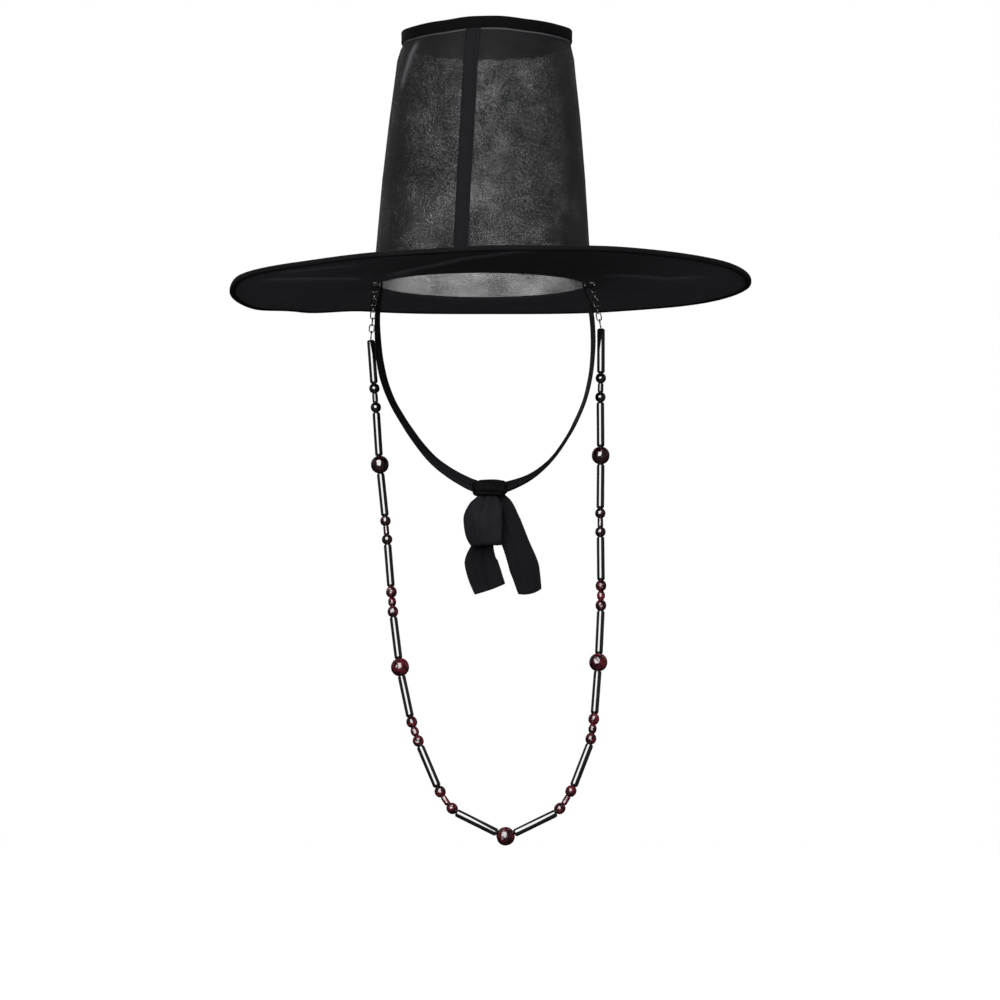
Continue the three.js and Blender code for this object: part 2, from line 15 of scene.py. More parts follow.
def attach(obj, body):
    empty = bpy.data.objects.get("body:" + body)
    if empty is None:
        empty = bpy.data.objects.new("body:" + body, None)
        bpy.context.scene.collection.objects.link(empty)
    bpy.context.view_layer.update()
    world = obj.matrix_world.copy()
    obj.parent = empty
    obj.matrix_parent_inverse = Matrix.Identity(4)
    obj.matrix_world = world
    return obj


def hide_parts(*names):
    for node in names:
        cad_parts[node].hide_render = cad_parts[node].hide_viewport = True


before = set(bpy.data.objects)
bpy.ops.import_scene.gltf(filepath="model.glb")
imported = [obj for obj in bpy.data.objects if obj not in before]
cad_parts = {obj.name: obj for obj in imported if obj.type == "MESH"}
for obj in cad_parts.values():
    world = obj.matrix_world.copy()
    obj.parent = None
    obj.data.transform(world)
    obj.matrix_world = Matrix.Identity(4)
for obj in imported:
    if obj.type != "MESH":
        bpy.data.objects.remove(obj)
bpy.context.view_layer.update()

bl_info = {
    "name": "Sheer brimmed hat",
    "version": (1, 0, 0),
    "blender": (4, 5, 0),
    "location": "3D View > Sidebar > Hat",
    "description": "Builds the cloth, ribbon, chains and beads of a tall sheer hat round its packed solids",
    "category": "Object",
}

MM = 0.001

# Outer radius of the crown's cloth, and how far its middle leans towards +X, at each height.
CrownRow = namedtuple("CrownRow", "height radius lean")
CROWN_SECTIONS = [
    CrownRow(0, 92.5, 0),
    CrownRow(36.4, 89.7, 0.5),
    CrownRow(88, 86, 1.1),
    CrownRow(139.5, 80.8, 2.1),
    CrownRow(190, 75.2, 2.6),
    CrownRow(199.2, 72.7, 3),
    CrownRow(203.3, 71.2, 3.6),
    CrownRow(214, 71.2, 3.6),
]
CROWN_TOP = CROWN_SECTIONS[-1]
TOP_LEAN = Vector((CROWN_TOP.lean * MM, 0, 0))
# Azimuth round the crown's top, and how far the cloth has sunk there: most at its front shoulders.
TOP_DIPS = [
    (0, -0.3), (90, 0), (180, 0.9), (215, 2.5), (238, 2.2), (262, 0.3), (278, 0), (300, 1.3),
    (325, 1.5), (360, -0.3),
]
# The sinking starts at the first height and distance from the middle, and is whole at the second.
SUNK_HEIGHTS = (120, 205)
SUNK_DISTANCES = (25, 70)
CLEARANCE = 0.3
FACET_ROOM = 0.12
CROWN_WALL = 1
LID_THICKNESS = 1.2
BINDING_DROP = 10
BINDING_LAP = 8
BINDING_TAPE = 1
BINDING_RADIUS = CROWN_TOP.radius + CLEARANCE + BINDING_TAPE
BINDING_TOP = CROWN_TOP.height + CLEARANCE + BINDING_TAPE
SEAM_WIDTH = 12.2
SEAM_TAPE = 0.8
SEAM_AZIMUTH_FOOT = -101.5
SEAM_AZIMUTH_TOP = -98.6
SEAM_FOOT = CLEARANCE
SEAM_TOP = BINDING_TOP - BINDING_DROP - CLEARANCE

OPENING_RADIUS = 88
BRIM_RADIUS = 220
BRIM_SHIFT = 6.8
BRIM_CURVE = 1.4
BRIM_THICKNESS = 2.2
BRIM_TOP = -CLEARANCE
BRIM_UNDERSIDE = BRIM_TOP - BRIM_THICKNESS
EDGE_TAPE = 0.8
EDGE_LAP = 5

# Azimuth round the brim, and how far the rim's middle lies above the opening there. 90 is the back.
RIM_WAVES = [
    (0, 1.6), (30, 1), (60, 2.5), (90, 4), (120, 2.6), (140, -4), (160, -9), (180, -7),
    (200, -2.2), (225, -2.8), (250, -0.7), (275, 2), (300, 4.4), (330, 4.4), (360, 1.6),
]

# The ribbon's middle, width, thickness and turn in degrees, at each row along it.
RIBBON = 1.2
RibbonRow = namedtuple("RibbonRow", "x y z width thickness turn", defaults=(RIBBON, 0))
EDGE_THINNING = 0.4
CHEEK_RISE = 0.1
LEFT_STRAP = [
    RibbonRow(-88.2, -4, 13, 22),
    RibbonRow(-84.9, -4, -1, 24),
    RibbonRow(-87.9, -6, -23.2, 24, RIBBON, 7),
    RibbonRow(-88.1, -11, -40.7, 24, RIBBON, 9),
    RibbonRow(-85.9, -19, -66.8, 24, 1.4, 12),
    RibbonRow(-82.1, -26, -85.2, 23, 1.6, 13),
    RibbonRow(-76, -34, -101.9, 21, 1.8, 13),
    RibbonRow(-66.6, -42, -119.4, 19, 2, 15),
    RibbonRow(-54.8, -49, -137.2, 17, 2.6, 17),
    RibbonRow(-40.9, -55, -153.8, 15.5, 3.8, 21),
    RibbonRow(-26.7, -59, -165, 15, 4.8, 25),
    RibbonRow(-11.8, -61.5, -173.4, 16.5, 5.2, 28),
    RibbonRow(-5.1, -62.4, -176.2, 17, 5.4, 29),
]
RIGHT_STRAP = [
    RibbonRow(88.2, -4, 13, 22),
    RibbonRow(84.9, -4, -2, 24),
    RibbonRow(91.2, -6, -23.2, 24, RIBBON, -7),
    RibbonRow(93, -11, -43.2, 24, RIBBON, -7),
    RibbonRow(92.4, -19, -65.1, 24, RIBBON, -6),
    RibbonRow(89.8, -26, -84.4, 23, RIBBON, -6),
    RibbonRow(85.5, -34, -101.9, 21, RIBBON, -6),
    RibbonRow(78.5, -42, -119.4, 19, RIBBON, -7),
    RibbonRow(69.2, -49, -137, 17, 1.6, -7),
    RibbonRow(56.7, -55, -154.5, 15.5, 2.4, -9),
    RibbonRow(39.7, -59, -168.7, 15.5, 3.8, -16),
    RibbonRow(23.9, -61.5, -176, 17, 5, -22),
    RibbonRow(16.6, -62.4, -178.4, 17.5, 5.2, -25),
]
LOBE = [
    RibbonRow(5.4, -68, -183.9, 16),
    RibbonRow(3.8, -73, -192, 26.5),
    RibbonRow(0.8, -76.5, -204, 32.6),
    RibbonRow(1.6, -75.5, -217, 30.4),
    RibbonRow(4.4, -72.2, -225.2, 24),
    RibbonRow(4.6, -69.8, -225.4, 24),
    RibbonRow(3.6, -68.2, -215, 26),
    RibbonRow(3.6, -67, -204, 24),
    RibbonRow(5, -65.8, -192.5, 18),
    RibbonRow(5.4, -65, -184.8, 14),
]
RIGHT_TAIL = [
    RibbonRow(9.8, -62.6, -184.5, 11.5),
    RibbonRow(16.4, -63.2, -193, 18, RIBBON, 2),
    RibbonRow(21.4, -64.6, -208, 22.5, RIBBON, 4),
    RibbonRow(28.3, -66.4, -226, 22.5, RIBBON, 5),
    RibbonRow(34.7, -68, -244, 25, RIBBON, 4),
    RibbonRow(39.4, -69, -264, 20, RIBBON, 2),
]
LEFT_TAIL = [
    RibbonRow(3.2, -59.6, -184.5, 12),
    RibbonRow(2.2, -58.8, -196, 15),
    RibbonRow(1.8, -58.4, -212, 16.5, RIBBON, -2),
    RibbonRow(0.4, -59.4, -226, 18.4, RIBBON, -3),
    RibbonRow(-0.8, -60.4, -238.5, 28, RIBBON, -3),
    RibbonRow(2.2, -61.4, -250, 28.5, RIBBON, -2),
    RibbonRow(6.6, -62.2, -262, 27),
]
FRONT_TO_BACK = Vector((0, 1, CHEEK_RISE)).normalized()
SIDE_TO_SIDE = Vector((1, 0, 0))
KNOT_MIDDLE = Vector((6.2, -63.4, -178.4))
KNOT_HALF = Vector((11.5, 7.4, 5.7))

# The line that each half of the bead string hangs on, from its top tube to the middle bead.
LEFT_ROUTE = [
    (-93.3, -31, -51.5), (-90.4, -33.5, -88.7), (-88.6, -35.4, -110.7), (-85.3, -39.9, -156.5),
    (-80.6, -47.7, -200.2), (-75.1, -62.7, -260), (-72.6, -71.5, -287.9), (-67.1, -84.4, -326.7),
    (-58.5, -99, -367.1), (-49.9, -107.8, -392.1), (-36.6, -116.1, -423.3), (-22.5, -120.8, -443.9),
    (0.1, -122.4, -456.5), (19.3, -123, -464.6),
]
RIGHT_ROUTE = [
    (99.3, -30.4, -41.8), (99.1, -32.8, -79.4), (98.5, -34.6, -103.9), (98.6, -39.6, -152.3),
    (98, -47, -196), (98.1, -61.8, -256.7), (97.6, -70.6, -284.3), (95, -84.3, -326.4),
    (91.3, -99.6, -368.5), (86.4, -108.9, -395), (74.4, -116.3, -423.9), (60.5, -120.8, -445.4),
    (39.7, -122.4, -457.3), (19.3, -123, -464.6),
]
LEFT_TUBE = 36.9
RIGHT_TUBE = 37.8

# Each kind of bead, with its length along the thread and its radius. A tube's length is its side's own.
BEAD_SIZES = {
    "tube": (None, 3.25),
    "large": (14.9, 7.5),
    "round": (8.5, 4.4),
    "garnet": (9.4, 4.5),
    "spacer": (7.9, 3.4),
    "bugle": (7.6, 2.4),
}
# One half of the string from its top: each bead's kind and its glass.
HALF_STRING = [
    ("tube", "black"), ("round", "black"), ("bugle", "smoke"), ("round", "black"), ("tube", "black"),
    ("large", "maroon"), ("tube", "black"), ("round", "maroon"), ("bugle", "maroon"), ("round", "maroon"),
    ("tube", "black"), ("garnet", "garnet"), ("spacer", "garnet"), ("garnet", "garnet"), ("tube", "black"),
    ("large", "garnet"), ("tube", "black"), ("garnet", "garnet"), ("spacer", "garnet"), ("garnet", "garnet"),
    ("tube", "black"), ("garnet", "garnet"), ("bugle", "garnet"), ("garnet", "garnet"), ("tube", "black"),
]

LINK_WIRE = 1.1
LINK_WIDTH = 5
LINK_BITE = 0.25
EYE_RADIUS = 2.6
EYE_FOOT_LENGTH = 10
EYE_FOOT_WIDTH = 5
EYE_FOOT_THICKNESS = 0.8
LEFT_EYE = (-89.4, -28)
RIGHT_EYE = (92.4, -28)
LEFT_LINKS = 8
RIGHT_LINKS = 6


# Settings that a user would change


def a_length(name, description, default):
    return FloatProperty(name=name, description=description, default=default, unit="LENGTH")


def a_colour(name, description, default):
    return FloatVectorProperty(
        name=name, description=description, default=default, subtype="COLOR", size=3
    )


class CrownSettings(bpy.types.PropertyGroup):
    """The crown's sheer cloth, its seam tape and its binding."""

    cloth: a_length("Cloth", "Thickness of the sheer cloth", 0.0001)
    pitch: a_length("Mesh pitch", "From thread to thread", 0.00046)
    thread_share: FloatProperty(name="Threads", description="Half a thread's width as a share of the pitch",
                                default=0.25, subtype="FACTOR")
    crease: a_length("Crease", "Height of the upper left crease", 0.0014)
    thread: a_colour("Thread", "Colour of the sheer cloth's threads", (0.0034, 0.0033, 0.0037))
    glint: a_colour("Glint", "Colour of threads that catch light", (0.018, 0.0175, 0.0195))
    tape: a_colour("Tape", "Colour of the binding and seam tape", (0.0012, 0.00116, 0.00148))


class BrimSettings(bpy.types.PropertyGroup):
    """The brim and its bound rim."""

    ridge: a_length("Ridges", "Height of the soft ridges", 0.002)
    weave: a_length("Weave", "From thread to thread", 0.0006)
    colour: a_colour("Cloth", "Colour of the brim's cloth", (0.0048, 0.0047, 0.0056))


class RibbonSettings(bpy.types.PropertyGroup):
    """The chin ribbon."""

    cloth: a_length("Cloth", "Thickness of the ribbon", 0.0009)
    fold: a_length("Fold", "Depth of folds in the loop and ends", 0.0014)
    colour: a_colour("Ribbon", "Colour of the ribbon", (0.0009, 0.00086, 0.0012))


class BeadSettings(bpy.types.PropertyGroup):
    """The beads' glass and the thread between them."""

    sides: IntProperty(name="Sides", description="Sides of the beads", default=32, min=12, max=64)
    hole: a_length("Hole", "Radius of the threading holes", 0.001)
    thread: a_length("Thread", "Radius of the thread", 0.0006)
    black: a_colour("Black glass", "Colour of tubes and small round beads", (0.0022, 0.0022, 0.0024))
    smoke: a_colour("Smoke glass", "Colour of the upper bugle beads", (0.003, 0.003, 0.003))
    maroon: a_colour("Dark maroon", "Colour of the upper red beads", (0.009, 0.0014, 0.002))
    garnet: a_colour("Garnet", "Colour of the lower red beads", (0.028, 0.0018, 0.0036))


class MetalSettings(bpy.types.PropertyGroup):
    """The chains and the eyes that they hang in."""

    colour: a_colour("Silver", "Colour of the wire", (0.17, 0.168, 0.16))


class StageSettings(bpy.types.PropertyGroup):
    """The floor, lights and camera."""

    floor_height: a_length("Floor", "Height of the floor", -0.56)
    box_power: FloatProperty(name="Soft boxes", description="Power of the left front light", default=63.0,
                             unit="POWER")
    air_light: FloatProperty(name="Air light", description="Strength of the light all round", default=0.8)


class HatSettings(bpy.types.PropertyGroup):
    """All the settings of the hat."""

    crown: PointerProperty(type=CrownSettings)
    brim: PointerProperty(type=BrimSettings)
    ribbon: PointerProperty(type=RibbonSettings)
    beads: PointerProperty(type=BeadSettings)
    metal: PointerProperty(type=MetalSettings)
    stage: PointerProperty(type=StageSettings)


# Shared modelling steps

SAME_POINT = 1e-6
RIDGE_END_FADE = 0.2


def deselect():
    if bpy.context.object and bpy.context.object.mode != "OBJECT":
        bpy.ops.object.mode_set(mode="OBJECT")
    bpy.ops.object.select_all(action="DESELECT")


def only(piece):
    deselect()
    piece.select_set(True)
    bpy.context.view_layer.objects.active = piece


def baked_in_place(piece):
    """Puts the piece's place and turn into its mesh, so that its object sits at the origin."""
    only(piece)
    bpy.ops.object.transform_apply(location=True, rotation=True, scale=True)
    return piece


def finished(piece, modifier_kind, **values):
    """Adds one modifier and applies it."""
    only(piece)
    modifier = piece.modifiers.new(modifier_kind.title(), modifier_kind)
    for key, value in values.items():
        setattr(modifier, key, value)
    bpy.ops.object.modifier_apply(modifier=modifier.name)
    return piece


def smooth(piece, degrees=40):
    only(piece)
    bpy.ops.object.shade_smooth_by_angle(angle=math.radians(degrees))
    return piece


def edit_all():
    """Opens the active piece for editing, with all of it selected."""
    bpy.ops.object.mode_set(mode="EDIT")
    bpy.ops.mesh.select_all(action="SELECT")


def end_edit():
    bpy.ops.object.mode_set(mode="OBJECT")


def outward(piece):
    """Turns all faces of the piece outwards."""
    only(piece)
    edit_all()
    bpy.ops.mesh.normals_make_consistent(inside=False)
    end_edit()
    return piece


def moved(piece, rule):
    """Moves every point of the piece's mesh by a rule from its place to its new place."""
    for point in piece.data.vertices:
        point.co = rule(point.co)
    piece.data.update()
    return piece


def turned(name, profile, sides, fill_ends=False):
    """A round form about Z, drawn up from its first circle. The profile gives radii and heights in mm."""
    deselect()
    radius, height = profile[0]
    bpy.ops.mesh.primitive_circle_add(vertices=sides, radius=radius * MM, location=(0, 0, height * MM))
    piece = bpy.context.object
    piece.name = name
    edit_all()
    for (last_radius, last_height), (radius, height) in zip(profile, profile[1:]):
        rise = (height - last_height) * MM
        bpy.ops.mesh.extrude_region_move(TRANSFORM_OT_translate={"value": (0, 0, rise)})
        scale = radius / last_radius
        bpy.ops.transform.resize(value=(scale, scale, 1), center_override=(0, 0, height * MM))
    if fill_ends:
        bpy.ops.mesh.edge_face_add()
        end_edit()
        for point in piece.data.vertices:
            point.select = point.index < sides
        bpy.ops.object.mode_set(mode="EDIT")
        bpy.ops.mesh.edge_face_add()
    bpy.ops.mesh.select_all(action="SELECT")
    bpy.ops.mesh.remove_doubles(threshold=SAME_POINT)
    bpy.ops.mesh.normals_make_consistent(inside=False)
    end_edit()
    return baked_in_place(piece)


def linked(name, mesh):
    """A new object in the scene with the given mesh."""
    piece = bpy.data.objects.new(name, mesh)
    bpy.context.scene.collection.objects.link(piece)
    return piece


def placed(place, *axes):
    """The matrix that carries the origin to a place, and X, Y and Z to three axes."""
    return Matrix.Translation(place) @ Matrix(axes).transposed().to_4x4()


def repeated(name, model, places):
    """One mesh that holds a copy of the model at each place, a matrix. The model is then removed."""
    points = np.array([list(v.co) + [1] for v in model.data.vertices])
    corners = [list(face.vertices) for face in model.data.polygons]
    all_points, all_faces = [], []
    for place in places:
        start = len(all_points) * len(points)
        all_points.append((points @ np.array(place).T)[:, :3])
        all_faces += [[start + corner for corner in face] for face in corners]
    mesh = bpy.data.meshes.new(name)
    mesh.from_pydata(np.concatenate(all_points).tolist(), [], all_faces)
    for material in model.data.materials:
        mesh.materials.append(material)
    bpy.data.objects.remove(model)
    return linked(name, mesh)


def sheet_of(name, points, places, across):
    """A single sheet of cloth from rows of points, with each point's place on the flat cloth as its UV map.
    Across is the number of faces from side to side."""
    row = across + 1
    starts = [i + k for i in range(0, len(points) - row, row) for k in range(across)]
    mesh = bpy.data.meshes.new(name)
    mesh.from_pydata(points, [], [(i, i + 1, i + row + 1, i + row) for i in starts])
    layer = mesh.uv_layers.new(name="Cloth")
    for face in mesh.polygons:
        for loop, vertex in zip(face.loop_indices, face.vertices):
            layer.data[loop].uv = places[vertex]
    return linked(name, mesh)


def joined(name, pieces):
    deselect()
    for piece in pieces:
        piece.select_set(True)
    bpy.context.view_layer.objects.active = pieces[0]
    bpy.ops.object.join()
    piece = bpy.context.object
    piece.name = name
    return piece


def set_down(piece, nodes=(), material=None):
    """Gives a finished piece its material, its body and the solids that it stands for."""
    if material:
        piece.data.materials.clear()
        piece.data.materials.append(material)
    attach(piece, "root")
    if nodes:
        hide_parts(*nodes)
    return piece


def unrolled(piece, rule, full_turn=None):
    """Gives the piece a UV map in metres. Where the cloth closes round, no face is stretched back."""
    while piece.data.uv_layers:
        piece.data.uv_layers.remove(piece.data.uv_layers[0])
    layer = piece.data.uv_layers.new(name="Cloth")
    points = piece.data.vertices
    for face in piece.data.polygons:
        places = [list(rule(points[v].co)) for v in face.vertices]
        if full_turn:
            furthest = max(place[0] for place in places)
            for place in places:
                if furthest - place[0] > full_turn / 2:
                    place[0] += full_turn
        for loop, place in zip(face.loop_indices, places):
            layer.data[loop].uv = place
    return piece


def painted_light(piece, rule):
    """Stores on the piece how far its colour is painted lighter at each point, from 0 to 1, as painted
    light.
    """
    layer = piece.data.attributes.new(name="Rubbed", type="FLOAT", domain="POINT")
    for point, stored in zip(piece.data.vertices, layer.data):
        stored.value = rule(point.co)
    return piece


def soft_step(value, low, high):
    """From 0 at the low value to 1 at the high one, with soft ends."""
    part = min(max((value - low) / (high - low), 0), 1)
    return part * part * (3 - 2 * part)


def bump_along(point, line, width):
    """From 1 on a line through flat points to 0 at a width from it, fading at the line's two ends."""
    best = 0
    stretches = len(line) - 1
    for i in range(stretches):
        start, end = Vector(line[i]), Vector(line[i + 1])
        run = end - start
        part = min(max((point - start).dot(run) / run.length_squared, 0), 1)
        away = (point - start - run * part).length / width
        whole = (i + part) / stretches
        fade = soft_step(whole, 0, RIDGE_END_FADE) * soft_step(1 - whole, 0, RIDGE_END_FADE)
        best = max(best, math.exp(-away * away) * fade)
    return best


# Curves, as the part's own source draws them


def cubic(a, b, c, d, before, here, after, part):
    """One stretch of a centripetal curve, from b to c."""
    leave = (b - a) / before - (c - a) / (before + here) + (c - b) / here
    arrive = (c - b) / here - (d - b) / (here + after) + (d - c) / after
    leave, arrive = leave * here, arrive * here
    second = 3 * (c - b) - 2 * leave - arrive
    third = 2 * (b - c) + leave + arrive
    return b + leave * part + second * part ** 2 + third * part ** 3


def curve_point(points, t):
    """The point at t, from 0 to 1, of the centripetal curve through the points."""
    at = min(t * (len(points) - 1), len(points) - 1 - 1e-9)
    i = int(at)
    b, c = points[i], points[i + 1]
    a = points[i - 1] if i > 0 else 2 * points[0] - points[1]
    d = points[i + 2] if i + 2 < len(points) else 2 * points[-1] - points[-2]
    before, here, after = ((q - p).length ** 0.5 for p, q in ((a, b), (b, c), (c, d)))
    return cubic(a, b, c, d, before, here, after, at - i)


def measured_line(points, steps=1000):
    """Points along the curve, with how far along it each lies."""
    line = [curve_point(points, i / steps) for i in range(steps + 1)]
    along = np.cumsum([0] + [(q - p).length for p, q in zip(line, line[1:])])
    return line, along


def point_along(line, along, distance):
    i = int(min(max(np.searchsorted(along, distance), 1), len(line) - 1))
    part = (distance - along[i - 1]) / (along[i] - along[i - 1])
    return line[i - 1].lerp(line[i], min(max(part, 0), 1))


def crown_at(height, column):
    heights = [row.height for row in CROWN_SECTIONS]
    return float(np.interp(height, heights, [getattr(row, column) for row in CROWN_SECTIONS]))


def wave_at(waves, azimuth):
    """The value of a table of azimuths and values at one azimuth, with soft steps between its rows."""
    azimuth %= 360
    for (low, low_value), (high, high_value) in zip(waves, waves[1:]):
        if azimuth <= high:
            return low_value + (high_value - low_value) * soft_step(azimuth, low, high)
    return waves[-1][1]


def outwards_at(azimuth):
    return Vector((math.cos(azimuth), math.sin(azimuth), 0))


def settled(point):
    """Lowers a point near the crown's top to where the cloth has sunk."""
    across = point - TOP_LEAN
    share = soft_step(point.z / MM, *SUNK_HEIGHTS) * soft_step(across.xy.length / MM, *SUNK_DISTANCES)
    dip = wave_at(TOP_DIPS, math.degrees(math.atan2(across.y, across.x)))
    return point - Vector((0, 0, dip * share * MM))


def brim_lift(x, y):
    """How high the brim's waves carry a point of the flat brim."""
    radius, azimuth = math.hypot(x, y), math.degrees(math.atan2(y, x))
    part = min(max((radius - OPENING_RADIUS) / (BRIM_RADIUS - OPENING_RADIUS), 0), 1)
    return wave_at(RIM_WAVES, azimuth) * part ** BRIM_CURVE


def on_brim(point):
    """Moves a point of the flat brim to where the brim's waves and its lean to one side carry it."""
    x, y = point.x / MM, point.y / MM
    shift = BRIM_SHIFT * soft_step(math.hypot(x, y), OPENING_RADIUS + 10, BRIM_RADIUS - 10)
    return point + Vector((shift, 0, brim_lift(x, y))) * MM


# Shared material steps

# How far a thread rises over another, how soft a net's thread edges are, and the middle of a noise's values.
WEAVE_RISE = 0.3
THREAD_EDGE = 0.04
NOISE_MIDDLE = (0.34, 0.66)

# Tones, each as a share of a setting's colour.
# Painted shade in a weave's hollows, and painted light on its thread tops.
PAINTED_HOLLOW_SHADE = 0.6
PAINTED_TOP_LIGHT = 1.6
# The tone that a black cloth's painted light reaches.
PAINTED_LIGHT_TONE = 12.8
# A painted highlight along the crown's selvedge and crease, as a share of the glint colour.
PAINTED_HIGHLIGHT_TONE = 4.5
SEAM_TONE = 5.2
RIM_TONE = 0.7
TARNISH_TONE = 0.42
# The ribbon's materials, painted light and shade on one cloth: the knot darkest, the straps and ends
# lighter, the loop's face lightest.
RIBBON_PAINTED_LIGHT_TONES = {"ribbon": ("Chin ribbon", 1), "end": ("Ribbon end, painted lighter", 2.6), "face": ("Ribbon face, painted lightest", 4.3)}

TAPE_WEAVE = 0.5 * MM
LID_WEAVE = 0.6 * MM
RIBBON_WEAVE = 0.4 * MM
# The height at which the crown's wall starts to be selvedge, and at which it is all selvedge; the selvedge
# is closed and carries a painted highlight.
SELVEDGE = (204 * MM, 204.3 * MM)


def plug(tree, node, key, value):
    """Gives one input of a node a value, or another node's output."""
    socket = node.inputs[key]
    if isinstance(value, bpy.types.NodeSocket):
        tree.links.new(value, socket)
        return
    if hasattr(value, "__len__") and len(value) < len(socket.default_value):
        value = (*value, 1)
    socket.default_value = value


def add_node(tree, kind, inputs=None, **settings):
    """A node with its settings, and for each input a value or another node's output."""
    made = tree.nodes.new(kind)
    for key, value in settings.items():
        setattr(made, key, value)
    for key, value in (inputs or {}).items():
        plug(tree, made, key, value)
    return made


def sums(tree, operation, *values, clamp=False):
    inputs = dict(enumerate(values))
    return add_node(tree, "ShaderNodeMath", inputs, operation=operation, use_clamp=clamp).outputs[0]


def ramped(tree, value, low, high, to_low=0.0, to_high=1.0):
    inputs = {"Value": value, "From Min": low, "From Max": high, "To Min": to_low, "To Max": to_high}
    made = add_node(tree, "ShaderNodeMapRange", inputs, interpolation_type="SMOOTHSTEP")
    return made.outputs["Result"]


def mixed(tree, factor, first, second):
    """One colour at a factor of 0 and the other at 1."""
    inputs = {0: factor, 6: first, 7: second}
    return add_node(tree, "ShaderNodeMix", inputs, data_type="RGBA").outputs[2]


def noise_at(tree, places, scale, detail, **inputs):
    inputs = {"Vector": places, "Scale": scale, "Detail": detail, **inputs}
    return add_node(tree, "ShaderNodeTexNoise", inputs).outputs["Fac"]


def times(colour, share):
    return tuple(channel * share for channel in colour)


def new_group(name, numbers, results):
    """An empty node group that takes a vector and numbers and gives number results: its tree, the outputs
    that bring in what it takes, and the inputs for its results."""
    tree = bpy.data.node_groups.new(name, "ShaderNodeTree")
    tree.interface.new_socket(name="Vector", in_out="INPUT", socket_type="NodeSocketVector")
    for in_out, names in (("INPUT", numbers), ("OUTPUT", results)):
        for socket in names:
            tree.interface.new_socket(name=socket, in_out=in_out, socket_type="NodeSocketFloat")
    start, end = tree.nodes.new("NodeGroupInput"), tree.nodes.new("NodeGroupOutput")
    return tree, start.outputs, end.inputs


def use_group(tree, group, inputs):
    return add_node(tree, "ShaderNodeGroup", inputs, node_tree=bpy.data.node_groups[group]).outputs


def woven_group():
    """Two sets of threads that pass over and under each other: where thread lies, and how high."""
    numbers = ["Pitch", "Thread share", "Softness"]
    tree, given, results = new_group("Woven threads", numbers, ["Cover", "Height"])
    inputs = {0: given["Vector"], 1: given["Pitch"]}
    scaled = add_node(tree, "ShaderNodeVectorMath", inputs, operation="DIVIDE")
    parts = add_node(tree, "ShaderNodeSeparateXYZ", {0: scaled.outputs[0]})
    edge = sums(tree, "SUBTRACT", 1.0, given["Thread share"])
    low = sums(tree, "SUBTRACT", edge, given["Softness"])
    high = sums(tree, "ADD", edge, given["Softness"])
    waves, covers, peaks = [], [], []
    for value in (parts.outputs[0], parts.outputs[1]):
        peak = sums(tree, "MULTIPLY", sums(tree, "PINGPONG", value, 0.5), 2.0)
        peaks.append(peak)
        covers.append(ramped(tree, peak, low, high))
        waves.append(sums(tree, "SINE", sums(tree, "MULTIPLY", value, math.pi)))
    over = sums(tree, "MULTIPLY", waves[0], waves[1])
    level = 1 - WEAVE_RISE
    warp = sums(tree, "MULTIPLY", peaks[0], sums(tree, "MULTIPLY_ADD", over, WEAVE_RISE, level))
    weft = sums(tree, "MULTIPLY", peaks[1], sums(tree, "MULTIPLY_ADD", over, -WEAVE_RISE, level))
    tree.links.new(sums(tree, "MAXIMUM", covers[0], covers[1]), results["Cover"])
    tree.links.new(sums(tree, "MAXIMUM", warp, weft), results["Height"])


def net_group():
    """A fine net of uneven threads, as stiffened sheer cloth has: where thread lies, and how high."""
    tree, given, results = new_group("Uneven net", ["Pitch", "Thread"], ["Cover", "Height"])
    per_metre = sums(tree, "DIVIDE", 1.0, given["Pitch"])
    cells = add_node(
        tree, "ShaderNodeTexVoronoi", {"Vector": given["Vector"], "Scale": per_metre, "Randomness": 1.0},
        voronoi_dimensions="2D", feature="DISTANCE_TO_EDGE",
    )
    away = cells.outputs["Distance"]
    low = sums(tree, "SUBTRACT", given["Thread"], THREAD_EDGE)
    high = sums(tree, "ADD", given["Thread"], THREAD_EDGE)
    hole = ramped(tree, away, low, high)
    tree.links.new(sums(tree, "SUBTRACT", 1.0, hole), results["Cover"])
    tree.links.new(sums(tree, "SUBTRACT", 1.0, away), results["Height"])


def mottle_group():
    """Fine grain and broad patches, which vary a cloth's colour, openness and shine."""
    names = ["Grain per metre", "Patches per metre"]
    tree, given, results = new_group("Mottled cloth", names, ["Grain", "Patches"])
    for name, result, detail in zip(names, ("Grain", "Patches"), (1.0, 4.0)):
        value = noise_at(tree, given["Vector"], given[name], detail, Roughness=0.6)
        tree.links.new(ramped(tree, value, *NOISE_MIDDLE), results[result])


def material(name):
    """A new material, its node tree and its shader."""
    made = bpy.data.materials.new(name)
    made.use_nodes = True
    tree = made.node_tree
    return made, tree, tree.nodes["Principled BSDF"]


def set_shader(tree, shader, **values):
    """Gives the shader's sockets constants or other nodes' outputs, by socket name with _ for a space."""
    for key, value in values.items():
        plug(tree, shader, key.replace("_", " "), value)


def bumped(tree, height, distance, strength=1.0):
    inputs = {"Height": height, "Distance": distance, "Strength": strength}
    return add_node(tree, "ShaderNodeBump", inputs).outputs["Normal"]


def cloth_places(tree, uses_uv=False):
    coordinates = tree.nodes.new("ShaderNodeTexCoord")
    return coordinates.outputs["UV" if uses_uv else "Object"]


def painted_light_share(tree, most):
    """How far the cloth is painted lighter, as painted light, or drawn closed, from 0 to the given share."""
    painted_light = add_node(tree, "ShaderNodeAttribute", attribute_name="Rubbed").outputs["Fac"]
    return sums(tree, "MULTIPLY", painted_light, most)


